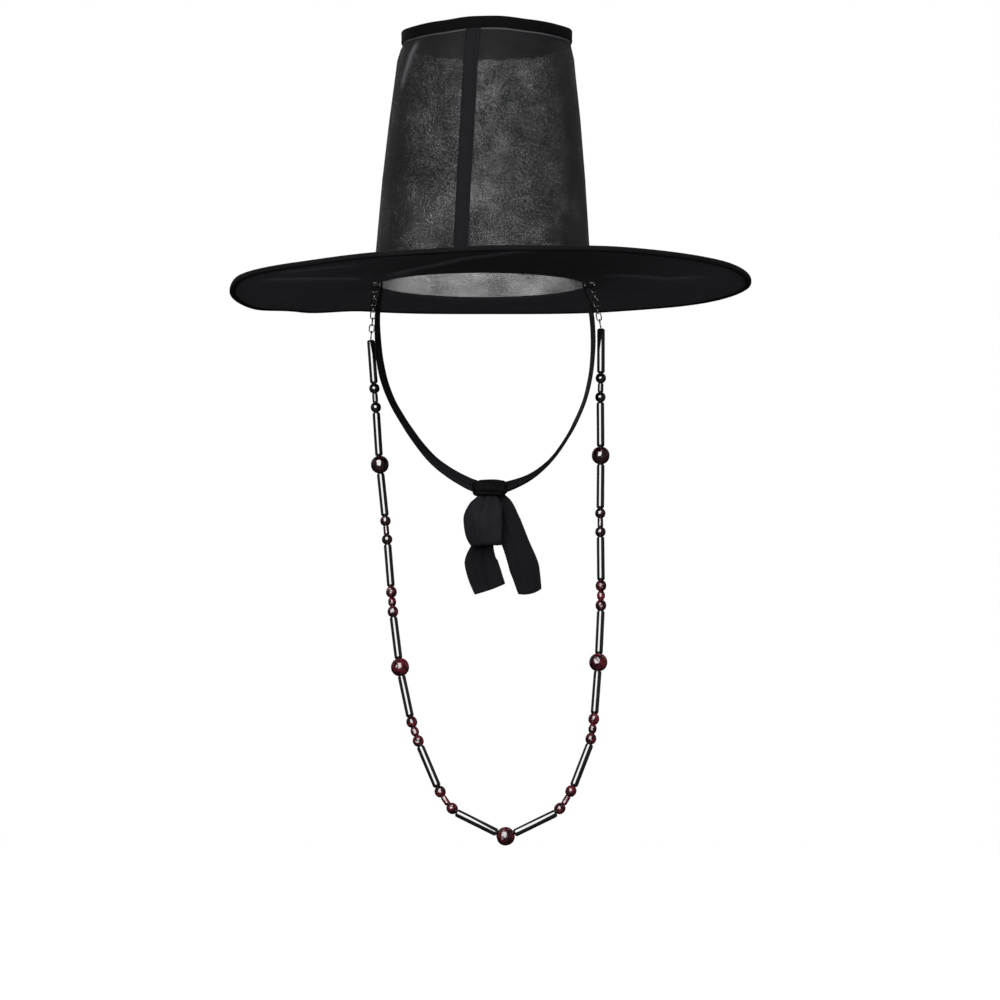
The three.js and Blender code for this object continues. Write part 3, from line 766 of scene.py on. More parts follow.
def black_cloth(name, colour, pitch, uses_uv=True, relief=0.00012, sheen=0.02, roughness=0.75):
    """An opaque black woven cloth: painted shade in its weave's hollows, painted light on its thread tops,
    lighter in random patches, and painted lighter where a piece stores painted light.
    """
    made, tree, shader = material(name)
    places = cloth_places(tree, uses_uv)
    inputs = {"Vector": places, "Pitch": pitch, "Thread share": 0.92, "Softness": 0.1}
    height = use_group(tree, "Woven threads", inputs)["Height"]
    inputs = {"Vector": places, "Grain per metre": 900.0, "Patches per metre": 36.0}
    mottle = use_group(tree, "Mottled cloth", inputs)
    tops = sums(tree, "MULTIPLY", height, 0.5)
    share = sums(tree, "ADD", tops, sums(tree, "MULTIPLY", mottle["Patches"], 0.3), clamp=True)
    shade = mixed(tree, share, times(colour, PAINTED_HOLLOW_SHADE), times(colour, PAINTED_TOP_LIGHT))
    # Painted light, where the piece stores it.
    shade = mixed(tree, painted_light_share(tree, 0.8), shade, times(colour, PAINTED_LIGHT_TONE))
    set_shader(
        tree, shader,
        Base_Color=shade,
        Roughness=ramped(tree, mottle["Patches"], 0, 1, roughness - 0.02, roughness + 0.04),
        Normal=bumped(tree, sums(tree, "MULTIPLY_ADD", mottle["Grain"], 0.35, height), relief),
        Sheen_Weight=sheen, Sheen_Roughness=0.45, Sheen_Tint=(0.5, 0.5, 0.55), Specular_IOR_Level=0.045,
    )
    return made


def sheer_cloth(settings):
    """Stiffened open mesh: uneven threads with gaps between them, clouds where it is more open, and painted
    glints on its threads. It is closed at the selvedge, under the binding, and along its crease, which both
    carry a painted highlight."""
    made, tree, shader = material("Sheer cloth")
    places = cloth_places(tree, uses_uv=True)
    inputs = {"Vector": places, "Grain per metre": 1100.0, "Patches per metre": 26.0}
    mottle = use_group(tree, "Mottled cloth", inputs)
    grain, patches = mottle["Grain"], mottle["Patches"]
    thicker = sums(tree, "MULTIPLY_ADD", grain, -0.12, 0.06)
    thicker = sums(tree, "ADD", thicker, sums(tree, "MULTIPLY_ADD", patches, -0.1, 0.05))
    thread = sums(tree, "ADD", thicker, settings.thread_share)
    net = use_group(tree, "Uneven net", {"Vector": places, "Pitch": settings.pitch, "Thread": thread})
    height = add_node(tree, "ShaderNodeSeparateXYZ", {0: places}).outputs["Y"]
    selvedge_and_highlight = ramped(tree, height, *SELVEDGE)
    closed = sums(tree, "MAXIMUM", selvedge_and_highlight, painted_light_share(tree, 0.7))
    # Painted glints on the threads, and a painted highlight along the selvedge and crease.
    lit = sums(tree, "MULTIPLY", grain, sums(tree, "MULTIPLY_ADD", patches, 0.8, 0.2))
    shade = mixed(tree, sums(tree, "ADD", lit, selvedge_and_highlight, clamp=True), settings.thread, settings.glint)
    brightest = sums(tree, "MAXIMUM", painted_light_share(tree, 1.0), sums(tree, "MULTIPLY", selvedge_and_highlight, 0.7))
    set_shader(
        tree, shader,
        Base_Color=mixed(tree, brightest, shade, times(settings.glint, PAINTED_HIGHLIGHT_TONE)),
        Alpha=sums(tree, "MAXIMUM", net["Cover"], closed),
        Normal=bumped(tree, net["Height"], 0.0002),
        Roughness=0.62, Sheen_Weight=0.03, Sheen_Roughness=0.4, Specular_IOR_Level=0.12,
    )
    return made


def sewing_thread():
    """Twisted black thread."""
    made, tree, shader = material("Sewing thread")
    inputs = {"Vector": cloth_places(tree), "Scale": 1400.0, "Distortion": 1.0}
    twist = add_node(tree, "ShaderNodeTexWave", inputs).outputs["Fac"]
    shade = mixed(tree, twist, (0.0008, 0.0008, 0.001), (0.0028, 0.0028, 0.0032))
    normal = bumped(tree, twist, 0.00005)
    set_shader(tree, shader, Base_Color=shade, Normal=normal, Roughness=0.6, Specular_IOR_Level=0.05)
    return made


def silver_wire(settings):
    """Bright drawn wire, with a fine grain and darker tarnish in patches."""
    made, tree, shader = material("Silver wire")
    places = cloth_places(tree)
    spots = ramped(tree, noise_at(tree, places, 420.0, 4.0), 0.5, 0.68)
    shade = mixed(tree, spots, settings.colour, times(settings.colour, TARNISH_TONE))
    roughness = ramped(tree, spots, 0, 1, 0.1, 0.26)
    normal = bumped(tree, noise_at(tree, places, 5200.0, 1.0), 0.00002, 0.6)
    set_shader(tree, shader, Base_Color=shade, Roughness=roughness, Normal=normal, Metallic=1.0)
    return made


def glass(name, colour, swirl=0.6, roughness=0.05, ior=1.8, waviness=0.0):
    """Polished bead glass, with darker swirls in its depth, duller spots and an uneven surface."""
    made, tree, shader = material(name)
    places = cloth_places(tree)
    depth = noise_at(tree, places, 190.0, 2.0, Distortion=0.9)
    spots = noise_at(tree, places, 900.0, 2.0)
    swirls = ramped(tree, depth, 0.38, 0.66)
    set_shader(
        tree, shader,
        Base_Color=mixed(tree, swirls, times(colour, 1 - swirl), times(colour, 1 + 2 * swirl)),
        Roughness=ramped(tree, spots, 0.5, 0.8, roughness, roughness + 0.08),
        IOR=ior,
    )
    if waviness:
        set_shader(tree, shader, Normal=bumped(tree, depth, waviness))
    return made


def make_materials(settings):
    """All the hat's materials, by the name that its pieces ask for."""
    woven_group()
    net_group()
    mottle_group()
    tape, brim, beads = settings.crown.tape, settings.brim, settings.beads
    made = {
        "sheer": sheer_cloth(settings.crown),
        "tape": black_cloth("Black tape", tape, TAPE_WEAVE),
        "seam": black_cloth("Seam tape cloth", times(tape, SEAM_TONE), TAPE_WEAVE),
        "lid": black_cloth("Lid cloth", tape, LID_WEAVE, uses_uv=False),
        "brim": black_cloth("Brim cloth", brim.colour, brim.weave, uses_uv=False, sheen=0.04),
        "rim": black_cloth("Rim tape", times(brim.colour, RIM_TONE), TAPE_WEAVE, uses_uv=False),
        "thread": sewing_thread(),
        "silver": silver_wire(settings.metal),
        "black": glass("Black glass", beads.black, swirl=0.3, ior=2.1),
        "smoke": glass("Smoke glass", beads.smoke, roughness=0.07),
        "maroon": glass("Dark maroon glass", beads.maroon, ior=2.0, waviness=0.0005),
        "garnet": glass("Garnet glass", beads.garnet, swirl=0.85, ior=1.85, waviness=0.0012),
    }
    # Each copy of the ribbon's one cloth is painted lighter or darker by its tone.
    for key, (name, tone) in RIBBON_PAINTED_LIGHT_TONES.items():
        colour = times(settings.ribbon.colour, tone)
        made[key] = black_cloth(name, colour, RIBBON_WEAVE, relief=0.00008, roughness=0.6)
    return made


MATERIALS = {}


def hat_material(key):
    """The material that a piece asks for. They are made once, when the first piece needs one."""
    if not MATERIALS:
        MATERIALS.update(make_materials(bpy.context.scene.sheer_hat))
    return MATERIALS[key]


# Stitches


Stitch = namedtuple("Stitch", "length gap thickness")
TAPE_STITCH = Stitch(2.6 * MM, 1.2 * MM, 0.42 * MM)
RIM_STITCH = Stitch(2.8 * MM, 1.3 * MM, 0.42 * MM)
EYE_STITCH = Stitch(2.4 * MM, 0, 0.5 * MM)
STITCH_FLATNESS = 0.8


def stitch_places(line, outwards, stitch):
    """Matrices for stitches that follow a line of points. Each lies on the line, facing outwards."""
    along = np.cumsum([0] + [(q - p).length for p, q in zip(line, line[1:])])
    count = int(along[-1] / (stitch.length + stitch.gap))
    places = []
    for i in range(count):
        middle = (i + 0.5) * along[-1] / count
        here = point_along(line, along, middle)
        ahead = point_along(line, along, min(middle + stitch.length / 2, along[-1]))
        behind = point_along(line, along, max(middle - stitch.length / 2, 0))
        x_axis = (ahead - behind).normalized()
        z_axis = outwards(here)
        z_axis = (z_axis - x_axis * z_axis.dot(x_axis)).normalized()
        places.append(placed(here, x_axis, z_axis.cross(x_axis), z_axis))
    return places


def stitches(name, places, stitch):
    """A row of short stitches, one model copied to each place."""
    deselect()
    bpy.ops.mesh.primitive_uv_sphere_add(segments=6, ring_count=5, radius=stitch.thickness / 2,
                                         rotation=(0, math.pi / 2, 0))
    model = baked_in_place(bpy.context.object)
    edit_all()
    bpy.ops.transform.resize(value=(stitch.length / stitch.thickness, 1, STITCH_FLATNESS))
    end_edit()
    baked_in_place(model)
    row = repeated(name, model, places)
    smooth(row, 80)
    return set_down(row, material=hat_material("thread"))


def ring_of_points(radius, height, lean=0.0):
    """A closed ring of points, one at each degree."""
    middle = Vector((lean, 0, height))
    return [(middle + outwards_at(math.radians(azimuth)) * radius) * MM for azimuth in range(361)]


def flat_out(point):
    """The direction away from the upright axis."""
    return point * Vector((1, 1, 0))


# Crown

# The crease at the upper left: its azimuth and height at each point, its width raised, and the width of its
# painted highlight.
CREASE = [(-141, 203), (-145, 190), (-150, 174), (-154, 158)]
CREASE_WIDTH = 3.2
CREASE_HIGHLIGHT_WIDTH = 2.8
CREASE_RADIUS = 74
WALL_SIDES = 216
WALL_STEP = 4.0
WALL_WAVE = 0.35
# The radius at which the wall's flat width is measured, about halfway up.
WALL_MIDDLE = 83 * MM


def crease_share(point, width=CREASE_WIDTH):
    """How near a point of the crown lies to the crease at its upper left, from 0 to 1."""
    crease = [Vector((math.radians(azimuth) * CREASE_RADIUS, height)) for azimuth, height in CREASE]
    return bump_along(Vector((math.atan2(point.y, point.x) * CREASE_RADIUS, point.z / MM)), crease, width)


def crown_wall_rule(settings):
    """Leans the crown, waves its cloth a little and raises the crease at its upper left."""

    def rule(point):
        height = point.z / MM
        out = outwards_at(math.atan2(point.y, point.x))
        wave = noise.noise(out * 1.6 + Vector((0, 0, height / 55)))
        free = soft_step(height, 0, 25) * soft_step(204 - height, 0, 22)
        rise = wave * WALL_WAVE * MM * free
        rise += settings.crease * crease_share(point)
        return settled(point + out * rise + Vector((crown_at(height, "lean") * MM, 0, 0)))

    return rule


class SHEER_HAT_OT_crown(bpy.types.Operator):
    """Makes the crown's wall of sheer cloth"""

    bl_idname = "sheer_hat.crown"
    bl_label = "Crown"

    def execute(self, context):
        settings = context.scene.sheer_hat.crown
        under_binding = 208.5
        heights = {*np.arange(0, 202, WALL_STEP), *(row.height for row in CROWN_SECTIONS), under_binding}
        profile = [(crown_at(height, "radius"), height) for height in sorted(heights)]
        wall = turned("crown_wall", profile, WALL_SIDES)
        # A painted highlight along the crease, where the net is also drawn closed.
        painted_light(wall, lambda p: crease_share(p, CREASE_HIGHLIGHT_WIDTH))
        round_wall = math.tau * WALL_MIDDLE
        unrolled(wall, lambda p: ((math.atan2(-p.x, p.y) + math.pi) * WALL_MIDDLE, p.z), round_wall)
        moved(wall, crown_wall_rule(settings))
        finished(wall, "SOLIDIFY", thickness=settings.cloth, offset=-1.0)
        outward(wall)
        smooth(wall, 60)
        set_down(wall, ["crown_mesh"], hat_material("sheer"))
        area = sum(
            math.pi * (r0 + r1) * math.hypot(r1 - r0, h1 - h0)
            for (r0, h0), (r1, h1) in zip(profile, profile[1:])
        )
        return {"FINISHED"}


LID_SAG = 0.35
LID_EDGE = 0.4


class SHEER_HAT_OT_lid(bpy.types.Operator):
    """Makes the flat round top"""

    bl_idname = "sheer_hat.lid"
    bl_label = "Lid"

    def execute(self, context):
        radius = CROWN_TOP.radius - CROWN_WALL - CLEARANCE
        top, under = CROWN_TOP.height, CROWN_TOP.height - LID_THICKNESS
        rings = [4, 20, 40, 56, radius - LID_EDGE]
        profile = [(r, under) for r in rings] + [(radius, under + LID_EDGE), (radius, top - LID_EDGE)]
        profile += [(r, top) for r in reversed(rings)]
        lid = turned("crown_lid_cloth", profile, 72, fill_ends=True)

        def rule(point):
            away = point.xy.length / MM / radius
            ripple = noise.noise(Vector((point.x * 45, point.y * 45, 0.3))) * 0.25
            sag = (ripple - LID_SAG) * (1 - away * away) * MM
            return settled(point + TOP_LEAN + Vector((0, 0, sag)))

        moved(lid, rule)
        smooth(lid)
        set_down(lid, ["crown_lid"], hat_material("lid"))
        return {"FINISHED"}


BINDING_WAVE = 0.3


class SHEER_HAT_OT_binding(bpy.types.Operator):
    """Makes the folded tape round the top edge, with its two rows of stitches"""

    bl_idname = "sheer_hat.binding"
    bl_label = "Crown binding"

    def execute(self, context):
        foot = BINDING_TOP - BINDING_DROP
        inside = BINDING_RADIUS - BINDING_TAPE
        lap = BINDING_RADIUS - BINDING_LAP
        fold = 0.9
        profile = [
            (inside, foot + 0.1), (BINDING_RADIUS - 0.2, foot), (BINDING_RADIUS, foot + 0.5),
            (BINDING_RADIUS, foot + 3.5), (BINDING_RADIUS, BINDING_TOP - 3),
            (BINDING_RADIUS, BINDING_TOP - fold),
            (BINDING_RADIUS - fold * 0.3, BINDING_TOP - fold * 0.3), (BINDING_RADIUS - fold, BINDING_TOP),
            (BINDING_RADIUS - 4, BINDING_TOP), (lap + 0.4, BINDING_TOP), (lap, BINDING_TOP - 0.3),
            (lap, BINDING_TOP - BINDING_TAPE + 0.1), (lap + 0.6, BINDING_TOP - BINDING_TAPE),
            (inside, BINDING_TOP - BINDING_TAPE), (inside, foot + 5), (inside, foot + 0.1),
        ]
        tape = turned("crown_binding_tape", profile, 180)

        def rule(point):
            out = outwards_at(math.atan2(point.y, point.x))
            wave = noise.noise(out * 3 + Vector((0, 0, point.z * 90)))
            outer = soft_step(point.xy.length / MM, inside, BINDING_RADIUS)
            return settled(point + out * wave * BINDING_WAVE * outer * MM + TOP_LEAN)

        moved(tape, rule)
        middle = BINDING_RADIUS * MM
        round_top = math.tau * middle
        unrolled(tape, lambda p: ((math.atan2(p.y, p.x) + math.pi) * middle, p.z - p.xy.length), round_top)
        smooth(tape, 50)
        set_down(tape, ["crown_binding"], hat_material("tape"))
        side = [settled(p) for p in ring_of_points(BINDING_RADIUS + 0.05, foot + 1.4, CROWN_TOP.lean)]
        top = [settled(p) for p in ring_of_points(lap + 1.5, BINDING_TOP + 0.02, CROWN_TOP.lean)]
        rows = stitch_places(side, lambda p: flat_out(p - TOP_LEAN), TAPE_STITCH)
        rows += stitch_places(top, lambda p: Vector((0, 0, 1)), TAPE_STITCH)
        sewing = stitches("crown_binding_stitches", rows, TAPE_STITCH)
        return {"FINISHED"}


# The seam tape's raised fold, the sides it rises between, and the sides of its two rows of stitches.
SEAM_FOLD = 0.45
SEAM_FOLD_SIDES = (0.52, 0.6)
SEAM_WAVE = 0.12
SEAM_ROWS = (-0.82, 0.5)


def on_seam(part, side, away):
    """A point at a part of the seam's height, a side across it and a distance off the crown's wall."""
    height = SEAM_FOOT + (SEAM_TOP - SEAM_FOOT) * part
    azimuth = SEAM_AZIMUTH_FOOT + (SEAM_AZIMUTH_TOP - SEAM_AZIMUTH_FOOT) * part
    radius = crown_at(height, "radius") + CLEARANCE + FACET_ROOM
    out = outwards_at(math.radians(azimuth) + side * SEAM_WIDTH / 2 / radius)
    return settled((out * (radius + away) + Vector((crown_at(height, "lean"), 0, height))) * MM)


class SHEER_HAT_OT_seam(bpy.types.Operator):
    """Makes the opaque tape down the crown's front, with its folded edge"""

    bl_idname = "sheer_hat.seam"
    bl_label = "Seam tape"

    def execute(self, context):
        steps, across = 60, 16
        length = SEAM_TOP - SEAM_FOOT
        points, places = [], []
        for i in range(steps + 1):
            height = SEAM_FOOT + length * i / steps
            for k in range(across + 1):
                side = 2 * k / across - 1
                fold = SEAM_FOLD * soft_step(side, *SEAM_FOLD_SIDES)
                wave = SEAM_WAVE * noise.noise(Vector((side * 1.2, height / 14, 5)))
                points.append(on_seam(i / steps, side, SEAM_TAPE / 2 + 0.2 + fold + wave))
                places.append((side * SEAM_WIDTH / 2 * MM, height * MM))
        tape = sheet_of("seam_tape_cloth", points, places, across)
        finished(tape, "SOLIDIFY", thickness=SEAM_TAPE * MM, offset=0)
        outward(tape)
        smooth(tape, 60)
        set_down(tape, ["seam_tape"], hat_material("seam"))
        rows = []
        for side in SEAM_ROWS:
            line = [on_seam(i / steps, side, SEAM_TAPE + 0.25) for i in range(steps + 1)]
            rows += stitch_places(line, flat_out, TAPE_STITCH)
        sewing = stitches("seam_tape_stitches", rows, TAPE_STITCH)
        return {"FINISHED"}


# Brim

# Soft ridges of the brim's cloth: flat points that each follows, its width, its share of the height,
# and how far the cloth is painted lighter along it, as a painted highlight.
BRIM_RIDGES = [
    ([(-84, -50), (-59, -95), (-22, -160), (15, -190), (48, -214)], 9, 1.0, 0.8),
    ([(-198, -56), (-143, -50), (-92, -46)], 12, 0.8, 0.7),
    ([(-175, -92), (-150, -112), (-100, -150)], 10, 0.7, 0.6),
    ([(97, -70), (130, -50), (152, -34), (190, -52)], 12, 0.8, 0.5),
    ([(-40, 110), (10, 150), (60, 190)], 12, 0.5, 0.1),
    ([(110, 80), (150, 110), (176, 120)], 12, 0.5, 0.1),
]
# Painted shade round this point at the brim's front, and painted light beyond the two distances from it.
PAINTED_SHADE_MIDDLE = Vector((25, -118))
PAINTED_SHADE_WITHIN = 40
PAINTED_LIGHT_BEYOND = 185
SIDE_PAINTED_LIGHT = 0.36
TOP_HIGHLIGHT_SHARE = 0.3
UNEVENNESS = 0.35
BRIM_SIDES = 216
BRIM_STATIONS = 34


def ridge_height(place):
    """The height of the brim's ridges and soft unevenness at a flat point, as a share of the full ridge."""
    total = UNEVENNESS * noise.noise(Vector((place.x / 60, place.y / 60, 2)))
    for line, width, share, _ in BRIM_RIDGES:
        total += share * bump_along(place, line, width)
    inner = soft_step(place.length, OPENING_RADIUS + 1, OPENING_RADIUS + 20)
    return total * inner * soft_step(BRIM_RADIUS - 7 - place.length, 0, 16)


def brim_painted_light(point):
    """How far the brim is painted lighter at a point, from 0 to 1, by painted ridge highlights and painted
    side light.
    """
    place = point.xy / MM
    # Painted highlights along the ridges, fainter on the top face, and painted light away from the front.
    lines = max(ridge_highlight * bump_along(place, line, width * 0.6) for line, width, _, ridge_highlight in BRIM_RIDGES)
    if point.z / MM > BRIM_TOP - BRIM_THICKNESS / 2:
        lines *= TOP_HIGHLIGHT_SHARE
    return lines + SIDE_PAINTED_LIGHT * soft_step((place - PAINTED_SHADE_MIDDLE).length, PAINTED_SHADE_WITHIN, PAINTED_LIGHT_BEYOND)


class SHEER_HAT_OT_brim(bpy.types.Operator):
    """Makes the wide brim with its slight waves and ridges"""

    bl_idname = "sheer_hat.brim"
    bl_label = "Brim"

    def execute(self, context):
        settings = context.scene.sheer_hat.brim
        edge = BRIM_RADIUS - EDGE_TAPE - CLEARANCE
        stations = list(np.linspace(OPENING_RADIUS + 0.5, edge, BRIM_STATIONS))
        profile = [(OPENING_RADIUS, BRIM_TOP - 1.6), (OPENING_RADIUS, BRIM_TOP - 0.5)]
        profile += [(r, BRIM_TOP) for r in stations] + [(r, BRIM_UNDERSIDE) for r in reversed(stations)]
        profile += [(OPENING_RADIUS, BRIM_TOP - 1.6)]
        brim = turned("brim_cloth", profile, BRIM_SIDES)
        # Painted highlights along the ridges, and painted light away from the brim's front.
        painted_light(brim, brim_painted_light)
        moved(brim, lambda p: on_brim(p) + Vector((0, 0, ridge_height(p.xy / MM) * settings.ridge)))
        smooth(brim, 60)
        set_down(brim, ["brim"], hat_material("brim"))
        return {"FINISHED"}


class SHEER_HAT_OT_rim(bpy.types.Operator):
    """Makes the folded tape round the brim's rim, with its stitches on both sides"""

    bl_idname = "sheer_hat.rim"
    bl_label = "Brim binding"

    def execute(self, context):
        lap, inside = BRIM_RADIUS - EDGE_LAP, BRIM_RADIUS - EDGE_TAPE
        top, under = BRIM_TOP + CLEARANCE, BRIM_UNDERSIDE - CLEARANCE
        over, below = top + EDGE_TAPE, under - EDGE_TAPE
        profile = [
            (lap, top + 0.1), (lap, over - 0.25), (lap + 0.4, over), (lap + 2.4, over),
            (BRIM_RADIUS - 1.2, over),
            (BRIM_RADIUS - 0.35, over - 0.4), (BRIM_RADIUS, over - 1.2), (BRIM_RADIUS, below + 1.2),
            (BRIM_RADIUS - 0.35, below + 0.4), (BRIM_RADIUS - 1.2, below), (lap + 2.4, below),
            (lap + 0.4, below),
            (lap, below + 0.25), (lap, under - 0.1), (lap + 0.6, under), (inside, under), (inside, top),
            (lap + 0.6, top), (lap, top + 0.1),
        ]
        tape = turned("brim_binding_tape", profile, BRIM_SIDES)
        moved(tape, on_brim)
        smooth(tape, 50)
        set_down(tape, ["brim_binding"], hat_material("rim"))
        rows = []
        for height, facing in ((over + 0.03, 1), (below - 0.03, -1)):
            line = [on_brim(p) for p in ring_of_points(lap + 1.2, height)]
            rows += stitch_places(line, lambda p, facing=facing: Vector((0, 0, facing)), RIM_STITCH)
        sewing = stitches("brim_binding_stitches", rows, RIM_STITCH)
        return {"FINISHED"}


# Ribbons


RIBBON_ACROSS = 28
FOLDS = 3
FOLD_START = 0.8
FOLD_DRIFT = 0.03
RIBBON_WAVE = 0.18
# The last part of a free end, along which its rounding grows.
ROUNDED_PART = 0.2


def between(rows, at, column):
    """One column of a table, at a place counted in rows."""
    row = min(int(at), len(rows) - 2)
    part = at - row
    return (1 - part) * getattr(rows[row], column) + part * getattr(rows[row + 1], column)


def ribbon_axes(middles, t, step, width_axis, turn):
    """The ribbon's directions along, across and off its face, at t from 0 to 1 on its middle line."""
    along = (curve_point(middles, min(t + step, 1)) - curve_point(middles, max(t - step, 0))).normalized()
    across = (width_axis - along * width_axis.dot(along)).normalized()
    across = Matrix.Rotation(math.radians(turn), 3, along) @ across
    return along, across, along.cross(across)


def ribbon(name, rows, width_axis, settings, steps_per_row=5, creases=None, rounding=0.0):
    """A ribbon through a table's rows, and its length. Where a row is thicker than the cloth, its folds fill
    the row. Creases give more depth at a part along and a side across, and rounding draws out the middle of
    the free end, all in mm."""
    middles = [Vector((row.x, row.y, row.z)) for row in rows]
    steps = (len(rows) - 1) * steps_per_row
    points, places = [], []
    run, last = 0.0, middles[0]
    for i in range(steps + 1):
        part, at = i / steps, i / steps_per_row
        middle = curve_point(middles, part)
        run += (middle - last).length
        last = middle
        along, across, off = ribbon_axes(middles, part, 0.25 / steps, width_axis, between(rows, at, "turn"))
        depth = max(between(rows, at, "thickness") - settings.cloth / MM, 0) / 2
        free_end = max(0, (part - 1 + ROUNDED_PART) / ROUNDED_PART) ** 2
        for k in range(RIBBON_ACROSS + 1):
            side = 2 * k / RIBBON_ACROSS - 1
            turn = FOLDS * math.pi * side + FOLD_START + FOLD_DRIFT * run
            fold = depth * math.sin(turn) * (1 - EDGE_THINNING * abs(side))
            fold += RIBBON_WAVE * noise.noise(Vector((side * 2, run / 16, len(rows))))
            if creases:
                fold += creases(part, side)
            reach = side * between(rows, at, "width") / 2
            onward = rounding * (1 - side * side) * free_end
            points.append((middle + across * reach + off * fold + along * onward) * MM)
            places.append((run * MM, reach * MM))
    piece = sheet_of(name, points, places, RIBBON_ACROSS)
    finished(piece, "SOLIDIFY", thickness=settings.cloth, offset=0)
    finished(piece, "SUBSURF", levels=1, render_levels=1, boundary_smooth="PRESERVE_CORNERS")
    outward(piece)
    smooth(piece, 60)
    return piece, run * MM


def gathered_flat(rows, length):
    """The flat size of a ribbon: its widest row and its length."""
    return (max(row.width for row in rows) * MM, length)


class SHEER_HAT_OT_straps(bpy.types.Operator):
    """Makes the chin ribbon's two sides, from inside the crown to under the chin"""

    bl_idname = "sheer_hat.straps"
    bl_label = "Chin ribbon"

    def execute(self, context):
        settings = context.scene.sheer_hat.ribbon
        for side, rows in (("left", LEFT_STRAP), ("right", RIGHT_STRAP)):
            strap, length = ribbon(f"chin_ribbon_{side}", rows, FRONT_TO_BACK, settings)
            set_down(strap, [f"chin_strap_{side}"], hat_material("end"))
            gathered_flat(rows, length)
        return {"FINISHED"}


KNOT_ROUNDNESS = 0.62
KNOT_SWELL = 1.16
KNOT_RELIEF = 1.4


class SHEER_HAT_OT_knot(bpy.types.Operator):
    """Makes the knot, a wrapped block of ribbon with its turns and creases"""

    bl_idname = "sheer_hat.knot"
    bl_label = "Knot"

    def execute(self, context):
        deselect()
        bpy.ops.mesh.primitive_cube_add(size=2 * MM, location=(0, 0, 0))
        knot = bpy.context.object
        knot.name = "chin_knot_cloth"
        edit_all()
        bpy.ops.mesh.subdivide(number_cuts=15)
        bpy.ops.transform.tosphere(value=KNOT_ROUNDNESS)
        bpy.ops.transform.resize(value=tuple(KNOT_HALF * KNOT_SWELL), center_override=(0, 0, 0))
        end_edit()

        def rule(point):
            place = Vector(point[i] / MM / KNOT_HALF[i] for i in range(3))
            turns = math.sin(place.z * 7.5 + place.x * 0.9 + 0.5) * 0.5 + 0.5
            pinch = math.exp(-((place.x * 1.1) ** 2)) * 0.2
            soft = 0.2 * noise.noise(place * 1.5)
            depth = 0.45 * turns ** 3 + pinch + soft
            return point - place.normalized() * depth * KNOT_RELIEF * MM + KNOT_MIDDLE * MM

        moved(knot, rule)
        unrolled(knot, lambda p: (p.x + p.y * 0.6, p.z))
        finished(knot, "SUBSURF", levels=1, render_levels=1)
        smooth(knot, 70)
        # The knot takes the ribbon copy in the deepest painted shade.
        set_down(knot, ["chin_knot"], hat_material("ribbon"))
        return {"FINISHED"}


LOOP_PAINTED_LIGHT = 0.07
# The line at which the loop's face rolls away to the left, with painted shade left of it: one point of it,
# and how far it leans to the left for each mm up.
ROLL_LINE = (-8.3, -201)
ROLL_LEAN = 1 / 3


def loop_painted_light(point):
    """How much painted light the loop's face gets at a point, between the line of its roll and its right
    edge.
    """
    x, z = point.x / MM, point.z / MM
    roll_line = ROLL_LINE[0] - (z - ROLL_LINE[1]) * ROLL_LEAN
    return LOOP_PAINTED_LIGHT * soft_step(x - roll_line, -2, 3) * (1 - 0.6 * soft_step(x, 12, 18))


def loop_creases(fold):
    """Gathers the loop under the knot, and presses two channels and a soft roll into its front."""

    def depth(part, side):
        front = soft_step(0.42 - part, 0, 0.12)
        gather = math.cos(side * 9 + 0.6) * math.exp(-part * 5.5)
        channel = -math.exp(-((side + 0.35) * 5) ** 2) - 0.8 * math.exp(-((side - 0.5) * 6) ** 2)
        roll = -0.9 * side * side
        return fold * (0.45 * gather + front * (0.8 * channel + roll))

    return depth


def end_creases(fold, lead):
    """Gathers a free end under the knot and rolls it softly. The lead shifts both to one side."""

    def depth(part, side):
        gather = math.cos(side * 8 + lead) * math.exp(-part * 4)
        roll = 0.7 * math.cos(side * 2.6 + lead + part * 1.2)
        return fold * (0.5 * gather + roll * soft_step(part, 0, 0.5))

    return depth


class SHEER_HAT_OT_loop(bpy.types.Operator):
    """Makes the loop that hangs in front of the knot"""

    bl_idname = "sheer_hat.loop"
    bl_label = "Loop"

    def execute(self, context):
        settings = context.scene.sheer_hat.ribbon
        creases = loop_creases(settings.fold / MM)
        loop, length = ribbon("knot_loop", LOBE, SIDE_TO_SIDE, settings, steps_per_row=6, creases=creases)
        # Painted light on the loop's face, right of its roll.
        painted_light(loop, loop_painted_light)
        set_down(loop, ["knot_lobe"], hat_material("face"))
        gathered_flat(LOBE, length)
        return {"FINISHED"}


class SHEER_HAT_OT_tails(bpy.types.Operator):
    """Makes the ribbon's two free ends"""

    bl_idname = "sheer_hat.tails"
    bl_label = "Free ends"

    def execute(self, context):
        settings = context.scene.sheer_hat.ribbon
        for side, rows, lead, rounding in (("left", LEFT_TAIL, 1.0, 0.5), ("right", RIGHT_TAIL, -0.6, 2.4)):
            creases = end_creases(settings.fold / MM, lead)
            tail, length = ribbon(f"ribbon_end_{side}", rows, SIDE_TO_SIDE, settings, steps_per_row=7,
                                  creases=creases, rounding=rounding)
            set_down(tail, [f"ribbon_tail_{side}"], hat_material("end"))
            gathered_flat(rows, length)
        return {"FINISHED"}


# Chains


EYE_FOOT_ROUNDING = 0.3
# The stitches over each end of an eye's foot: how far from its middle, and their places across it.
EYE_ROWS = (-4.2, 4.2)
EYE_STITCHES = (-1.3, 0, 1.3)


def eye_foot_top(eye):
    return BRIM_UNDERSIDE - CLEARANCE - FACET_ROOM + brim_lift(*eye)


ABOVE_MIDDLE = 0.01 * MM


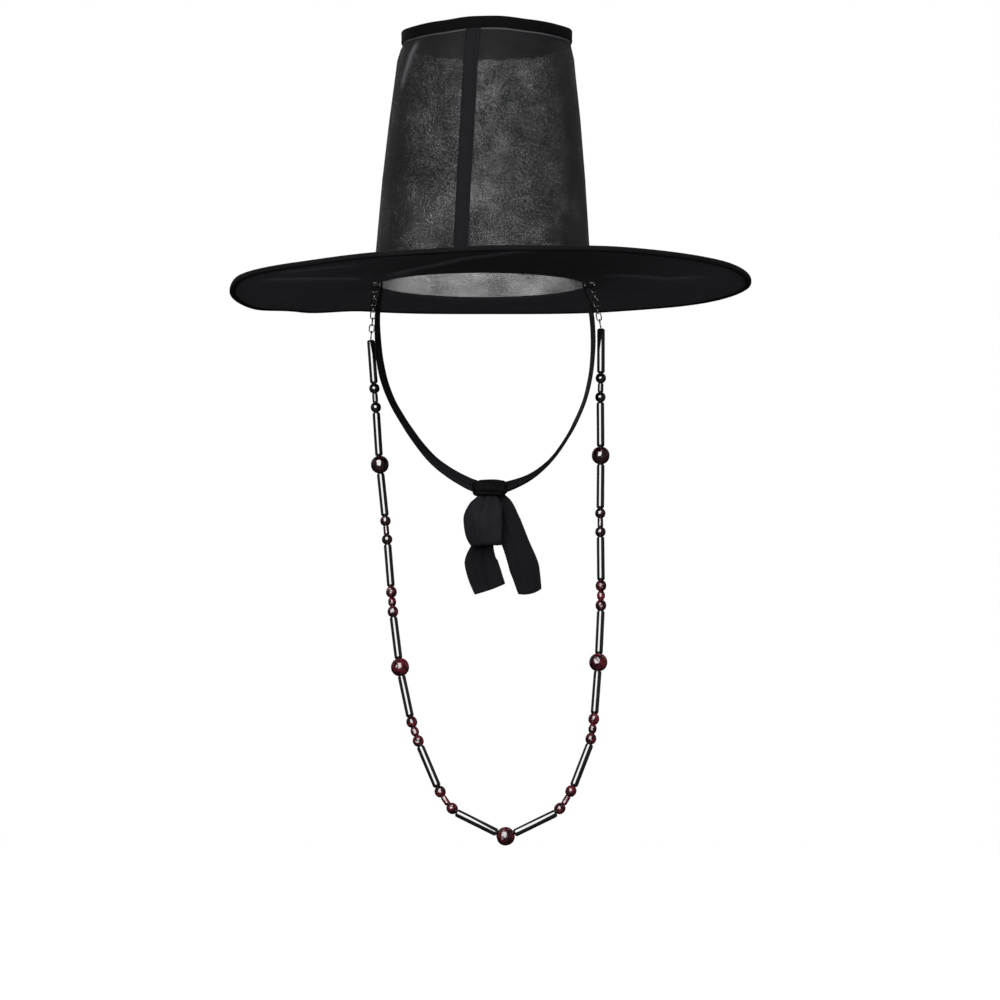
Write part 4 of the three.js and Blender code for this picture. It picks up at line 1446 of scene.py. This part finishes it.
def wire_link(half_length, half_width):
    """One oval link of round wire, with its length along Z and its width along X."""
    deselect()
    bpy.ops.mesh.primitive_torus_add(
        major_segments=24, minor_segments=10, major_radius=half_width * MM, minor_radius=LINK_WIRE / 2 * MM,
        rotation=(math.pi / 2, 0, 0),
    )
    link = baked_in_place(bpy.context.object)
    reach = (half_length - half_width) * MM
    for sign in (1, -1):
        for point in link.data.vertices:
            point.select = point.co.z * sign > ABOVE_MIDDLE
        for kind in (link.data.edges, link.data.polygons):
            for part in kind:
                part.select = False
        bpy.ops.object.mode_set(mode="EDIT")
        bpy.ops.mesh.select_mode(type="VERT")
        bpy.ops.transform.translate(value=(0, 0, sign * reach))
        bpy.ops.object.mode_set(mode="OBJECT")
    return link


class SHEER_HAT_OT_eyes(bpy.types.Operator):
    """Makes the sewn-on eyes under the brim that the chains hang in"""

    bl_idname = "sheer_hat.eyes"
    bl_label = "Eyes"

    def execute(self, context):
        for side, eye in (("left", LEFT_EYE), ("right", RIGHT_EYE)):
            top = eye_foot_top(eye)
            middle = Vector((eye[0], eye[1], top - EYE_FOOT_THICKNESS / 2)) * MM
            deselect()
            bpy.ops.mesh.primitive_cube_add(size=1, location=middle)
            foot = bpy.context.object
            foot.scale = Vector((EYE_FOOT_WIDTH, EYE_FOOT_LENGTH, EYE_FOOT_THICKNESS)) * MM
            baked_in_place(foot)
            finished(foot, "BEVEL", width=EYE_FOOT_ROUNDING * MM, segments=3)
            deselect()
            bpy.ops.mesh.primitive_torus_add(
                major_segments=40, minor_segments=12, major_radius=EYE_RADIUS * MM,
                minor_radius=LINK_WIRE / 2 * MM, rotation=(0, math.pi / 2, 0), location=middle,
            )
            ring = baked_in_place(bpy.context.object)
            edit_all()
            bpy.ops.mesh.bisect(plane_co=middle, plane_no=(0, 0, 1), clear_outer=True, use_fill=True)
            end_edit()
            whole = joined(f"brim_eye_{side}_wire", [foot, ring])
            smooth(whole, 45)
            set_down(whole, [f"brim_eye_{side}"], hat_material("silver"))
            under = middle - Vector((0, 0, EYE_FOOT_THICKNESS / 2)) * MM
            across = Matrix.Rotation(math.pi / 2, 4, "Z")
            rows = [
                Matrix.Translation(under + Vector((x, y, 0)) * MM) @ across
                for y in EYE_ROWS for x in EYE_STITCHES
            ]
            stitches(f"brim_eye_{side}_stitches", rows, EYE_STITCH)
        return {"FINISHED"}


class SHEER_HAT_OT_chains(bpy.types.Operator):
    """Makes the two short chains of oval links"""

    bl_idname = "sheer_hat.chains"
    bl_label = "Chains"

    def execute(self, context):
        sides = (("left", LEFT_EYE, LEFT_ROUTE, LEFT_LINKS), ("right", RIGHT_EYE, RIGHT_ROUTE, RIGHT_LINKS))
        for side, eye, route, count in sides:
            eye_wire = eye_foot_top(eye) - EYE_FOOT_THICKNESS / 2 - EYE_RADIUS
            top = Vector((eye[0], eye[1], eye_wire + CLEARANCE + 1.5 * LINK_WIRE))
            bottom = Vector(route[0]) + Vector((0, 0, CLEARANCE))
            along = (bottom - top).normalized()
            length = ((bottom - top).length + (count - 1) * (2 * LINK_WIRE - LINK_BITE)) / count
            pitch = length - 2 * LINK_WIRE + LINK_BITE
            facing = (SIDE_TO_SIDE - along * SIDE_TO_SIDE.dot(along)).normalized()
            places = []
            for i in range(count):
                centre = top + along * (length / 2 + i * pitch)
                across = facing if i % 2 == 0 else along.cross(facing)
                places.append(placed(centre * MM, across, along.cross(across), along))
            link = wire_link((length - LINK_WIRE) / 2, (LINK_WIDTH - LINK_WIRE) / 2)
            chain = repeated(f"chain_{side}_links", link, places)
            outward(chain)
            smooth(chain, 60)
            set_down(chain, [f"chain_{side}"], hat_material("silver"))
        return {"FINISHED"}


# Beads


# How far a tube's ends are rounded, and a bead's flat as the sine of the angle at which it starts.
TUBE_ROUNDING = {"tube": 1.7, "bugle": 0.9}
BEAD_FLAT = {"large": 0.28, "round": 0.36, "garnet": 0.36, "spacer": 0.52}
BEAD_FULLNESS = 0.95
BEAD_SHARE = 0.97
THREAD_STRETCH = 4 * MM
BEAD_SPIN = 1.7
MIDDLE_SPIN = 0.6


def tube_outline(half, radius, rounding):
    """Radii and heights down a tube's outside, with its rounded ends."""
    turns = [(radius - rounding * (1 - math.sin(a)), half - rounding * (1 - math.cos(a)))
             for a in np.linspace(0, math.pi / 2, 6)]
    return turns + [(r, -z) for r, z in reversed(turns)]


def round_outline(half, radius, flat):
    """Radii and heights down a round bead's outside, between the flats round its hole."""
    start = math.asin(flat)
    outline = []
    for a in np.linspace(start, math.pi - start, 17):
        rise = math.copysign(abs(math.cos(a)) ** BEAD_FULLNESS, math.cos(a))
        rise /= math.cos(start) ** BEAD_FULLNESS
        outline.append((radius * math.sin(a), rise * half * BEAD_SHARE))
    return outline


def bead_model(kind, length, radius, settings):
    """One bead along Z, with a rounded shape for its kind and a threading hole sunk into each end."""
    if kind in TUBE_ROUNDING:
        outside = tube_outline(length / 2, radius, TUBE_ROUNDING[kind])
    else:
        outside = round_outline(length / 2, radius, BEAD_FLAT[kind])
    hole, top = settings.hole / MM, outside[0][1]
    inner = [(hole, top - 1.6), (hole, top - 0.35), (hole * 1.4, top - 0.05)]
    profile = inner + outside + [(r, -z) for r, z in reversed(inner)]
    return smooth(turned(kind, profile, settings.sides, fill_ends=True), 50)


def threaded(place, axis):
    """The matrix that carries a form along Z on to the thread at a place."""
    return Matrix.Translation(place * MM) @ axis.to_track_quat("Z", "Y").to_matrix().to_4x4()


def bead_at(model, glass_name, middle, axis, spin):
    """A copy of a bead with its own mesh, moved on to the thread and turned about it."""
    mesh = model.data.copy()
    mesh.materials.clear()
    mesh.materials.append(hat_material(glass_name))
    mesh.transform(threaded(middle, axis) @ Matrix.Rotation(spin, 4, "Z"))
    return linked("bead", mesh)


def thread_at(place, axis, settings):
    """A short stretch of thread where two beads meet."""
    deselect()
    bpy.ops.mesh.primitive_cylinder_add(vertices=8, radius=settings.thread, depth=THREAD_STRETCH)
    stretch = bpy.context.object
    stretch.data.transform(threaded(place, axis))
    stretch.data.materials.append(hat_material("thread"))
    return stretch


def bead_string(name, route, tube_length, has_middle_bead, settings):
    """One half of the string: each bead straight on the chord of its stretch of the route."""
    line, along = measured_line([Vector(p) for p in route])
    length_of = {kind: length or tube_length for kind, (length, _) in BEAD_SIZES.items()}
    strung = sum(length_of[kind] for kind, _ in HALF_STRING)
    fit = (along[-1] - length_of["large"] / 2) / strung
    models = {
        kind: bead_model(kind, length_of[kind] * fit, radius, settings)
        for kind, (_, radius) in BEAD_SIZES.items()
    }
    pieces, distance = [], 0.0
    end = line[0]
    for i, (kind, glass_name) in enumerate(HALF_STRING):
        start = end
        distance += length_of[kind] * fit
        end = point_along(line, along, distance)
        axis = (end - start).normalized()
        pieces.append(bead_at(models[kind], glass_name, (start + end) / 2, axis, i * BEAD_SPIN))
        if i > 0:
            pieces.append(thread_at(start, axis, settings))
    if has_middle_bead:
        centre = line[-1]
        axis = (centre - end).normalized()
        pieces.append(bead_at(models["large"], "garnet", centre, axis, MIDDLE_SPIN))
        pieces.append(thread_at(end, axis, settings))
    for model in models.values():
        bpy.data.objects.remove(model)
    return joined(name, pieces)


class SHEER_HAT_OT_beads(bpy.types.Operator):
    """Makes the two halves of the bead string"""

    bl_idname = "sheer_hat.beads"
    bl_label = "Bead string"

    def execute(self, context):
        settings = context.scene.sheer_hat.beads
        halves = (("left", LEFT_ROUTE, LEFT_TUBE, False), ("right", RIGHT_ROUTE, RIGHT_TUBE, True))
        for side, route, tube_length, has_middle_bead in halves:
            string = bead_string(f"beads_{side}", route, tube_length, has_middle_bead, settings)
            set_down(string, [f"bead_string_{side}"])
        return {"FINISHED"}


# Stage

CAMERA_PLACE = (0.0148, -3.48, -0.4457)
CAMERA_PITCH = 4.312
CAMERA_LENS = 149.33
CAMERA_SENSOR = 36
CAMERA_RANGE = (0.1, 100)
LIT_POINT = (0.0, 0.0, -0.15)
FLOOR_RADIUS = 14
# Each soft box: its name, place, width, height, its power by the left one's, and the rays that miss it.
SOFT_BOXES = [
    ("Left box", (-0.66, -2.31, 0.8), 1.5, 3.0, 1, "glossy"),
    ("Right box", (1.41, -1.94, 0.8), 1.75, 3.0, 0.75, "glossy"),
    ("Glint box", (-0.5, -2.31, 0.7), 2.2, 2.8, 2.2, "diffuse"),
    ("Top box", (0.3, 0.9, 2.2), 1.4, 1.4, 0.5, None),
    ("Back box", (-1.2, 2.3, 0.6), 1.8, 1.8, 0.08, None),
]
# How strong the air's light is from below, first at the front and then at the back, and how strong it is
# for glints, where 1 is its full strength.
AIR_BELOW = (0.95, 0.12)
AIR_GLINTS = 0.12


def soft_box(name, place, width, height, power, missed_by):
    """A large soft light that faces the hat and isn't seen by the camera itself."""
    deselect()
    bpy.ops.object.light_add(type="AREA", location=place)
    lamp = bpy.context.object
    lamp.name = name
    lamp.data.shape = "RECTANGLE"
    lamp.data.size, lamp.data.size_y = width, height
    lamp.data.energy = power
    lamp.rotation_euler = (Vector(LIT_POINT) - Vector(place)).to_track_quat("-Z", "Y").to_euler()
    lamp.visible_camera = False
    lamp.visible_glossy = missed_by != "glossy"
    lamp.visible_diffuse = missed_by != "diffuse"


def pale_floor(height):
    """A wide matt floor that neither lights the other pieces nor shows in their glints."""
    deselect()
    bpy.ops.mesh.primitive_circle_add(vertices=96, radius=FLOOR_RADIUS, fill_type="NGON",
                                      location=(0, 0, height))
    floor = bpy.context.object
    floor.name = "floor"
    made, tree, shader = material("Pale floor")
    grain = noise_at(tree, cloth_places(tree), 3.0, 3.0)
    shade = mixed(tree, grain, (0.88, 0.88, 0.88), (0.92, 0.92, 0.92))
    set_shader(tree, shader, Base_Color=shade, Roughness=0.95, Specular_IOR_Level=0.1,
               Emission_Color=(1, 1, 1), Emission_Strength=0.3)
    floor.data.materials.append(made)
    floor.visible_glossy = False
    floor.visible_diffuse = False
    return floor


def photo_camera():
    """The camera, with its place, tilt and lens fitted to the photo."""
    deselect()
    bpy.ops.object.camera_add(location=CAMERA_PLACE, rotation=(math.radians(90 + CAMERA_PITCH), 0, 0))
    camera = bpy.context.object
    camera.name = "Camera"
    camera.data.lens = CAMERA_LENS
    camera.data.sensor_width = CAMERA_SENSOR
    camera.data.clip_start, camera.data.clip_end = CAMERA_RANGE
    return camera


def air_light(strength):
    """White all round for the camera, and a softer light for the pieces, dimmer from below."""
    world = bpy.data.worlds.new("Studio")
    world.use_nodes = True
    bpy.context.scene.world = world
    tree = world.node_tree
    tree.nodes.clear()
    coordinates = tree.nodes.new("ShaderNodeTexCoord")
    parts = add_node(tree, "ShaderNodeSeparateXYZ", {0: coordinates.outputs["Generated"]}).outputs
    below = ramped(tree, parts["Y"], -1.0, 0.5, *AIR_BELOW)
    above = ramped(tree, parts["Z"], -0.25, 0.25)
    level = sums(tree, "ADD", above, sums(tree, "MULTIPLY", below, sums(tree, "SUBTRACT", 1.0, above)))
    rays = tree.nodes.new("ShaderNodeLightPath").outputs
    for_glints = sums(tree, "MULTIPLY", rays["Is Glossy Ray"], AIR_GLINTS - 1)
    full = sums(tree, "MULTIPLY", level, strength)
    power = sums(tree, "MULTIPLY", sums(tree, "ADD", for_glints, 1.0), full)
    soft = add_node(tree, "ShaderNodeBackground", {"Color": (1, 1, 1), "Strength": power}).outputs[0]
    plain = add_node(tree, "ShaderNodeBackground", {"Color": (1, 1, 1), "Strength": 1.0}).outputs[0]
    chosen = add_node(tree, "ShaderNodeMixShader", {0: rays["Is Camera Ray"], 1: soft, 2: plain}).outputs[0]
    add_node(tree, "ShaderNodeOutputWorld", {"Surface": chosen})


class SHEER_HAT_OT_stage(bpy.types.Operator):
    """Makes the pale floor, the soft lights and the camera"""

    bl_idname = "sheer_hat.stage"
    bl_label = "Stage"

    def execute(self, context):
        settings = context.scene.sheer_hat.stage
        context.scene.view_settings.view_transform = "Standard"
        context.scene.camera = photo_camera()
        pale_floor(settings.floor_height)
        for name, place, width, height, share, missed_by in SOFT_BOXES:
            soft_box(name, place, width, height, settings.box_power * share, missed_by)
        air_light(settings.air_light)
        return {"FINISHED"}


class SHEER_HAT_PT_panel(bpy.types.Panel):
    """Lists the hat's pieces in the order of making"""

    bl_idname = "SHEER_HAT_PT_panel"
    bl_label = "Sheer hat"
    bl_space_type = "VIEW_3D"
    bl_region_type = "UI"
    bl_category = "Hat"

    def draw(self, context):
        for step in MAKING_ORDER:
            self.layout.operator(f"sheer_hat.{step}")
        settings = context.scene.sheer_hat
        groups = (
            settings.crown, settings.brim, settings.ribbon, settings.beads, settings.metal, settings.stage,
        )
        for group in groups:
            box = self.layout.box()
            for name in group.bl_rna.properties.keys():
                if name not in ("rna_type", "name"):
                    box.prop(group, name)


MAKING_ORDER = ["stage", "crown", "lid", "binding", "seam", "brim", "rim", "straps", "knot", "loop", "tails",
                "eyes", "chains", "beads"]
CLASSES = [
    CrownSettings, BrimSettings, RibbonSettings, BeadSettings, MetalSettings, StageSettings, HatSettings,
    SHEER_HAT_OT_stage, SHEER_HAT_OT_crown, SHEER_HAT_OT_lid, SHEER_HAT_OT_binding, SHEER_HAT_OT_seam,
    SHEER_HAT_OT_brim, SHEER_HAT_OT_rim, SHEER_HAT_OT_straps, SHEER_HAT_OT_knot, SHEER_HAT_OT_loop,
    SHEER_HAT_OT_tails, SHEER_HAT_OT_eyes, SHEER_HAT_OT_chains, SHEER_HAT_OT_beads, SHEER_HAT_PT_panel,
]


def register():
    for kind in CLASSES:
        bpy.utils.register_class(kind)
    bpy.types.Scene.sheer_hat = PointerProperty(type=HatSettings)


def unregister():
    del bpy.types.Scene.sheer_hat
    for kind in reversed(CLASSES):
        bpy.utils.unregister_class(kind)


def main():
    register()
    for step in MAKING_ORDER:
        getattr(bpy.ops.sheer_hat, step)()


if __name__ == "__main__":
    main()
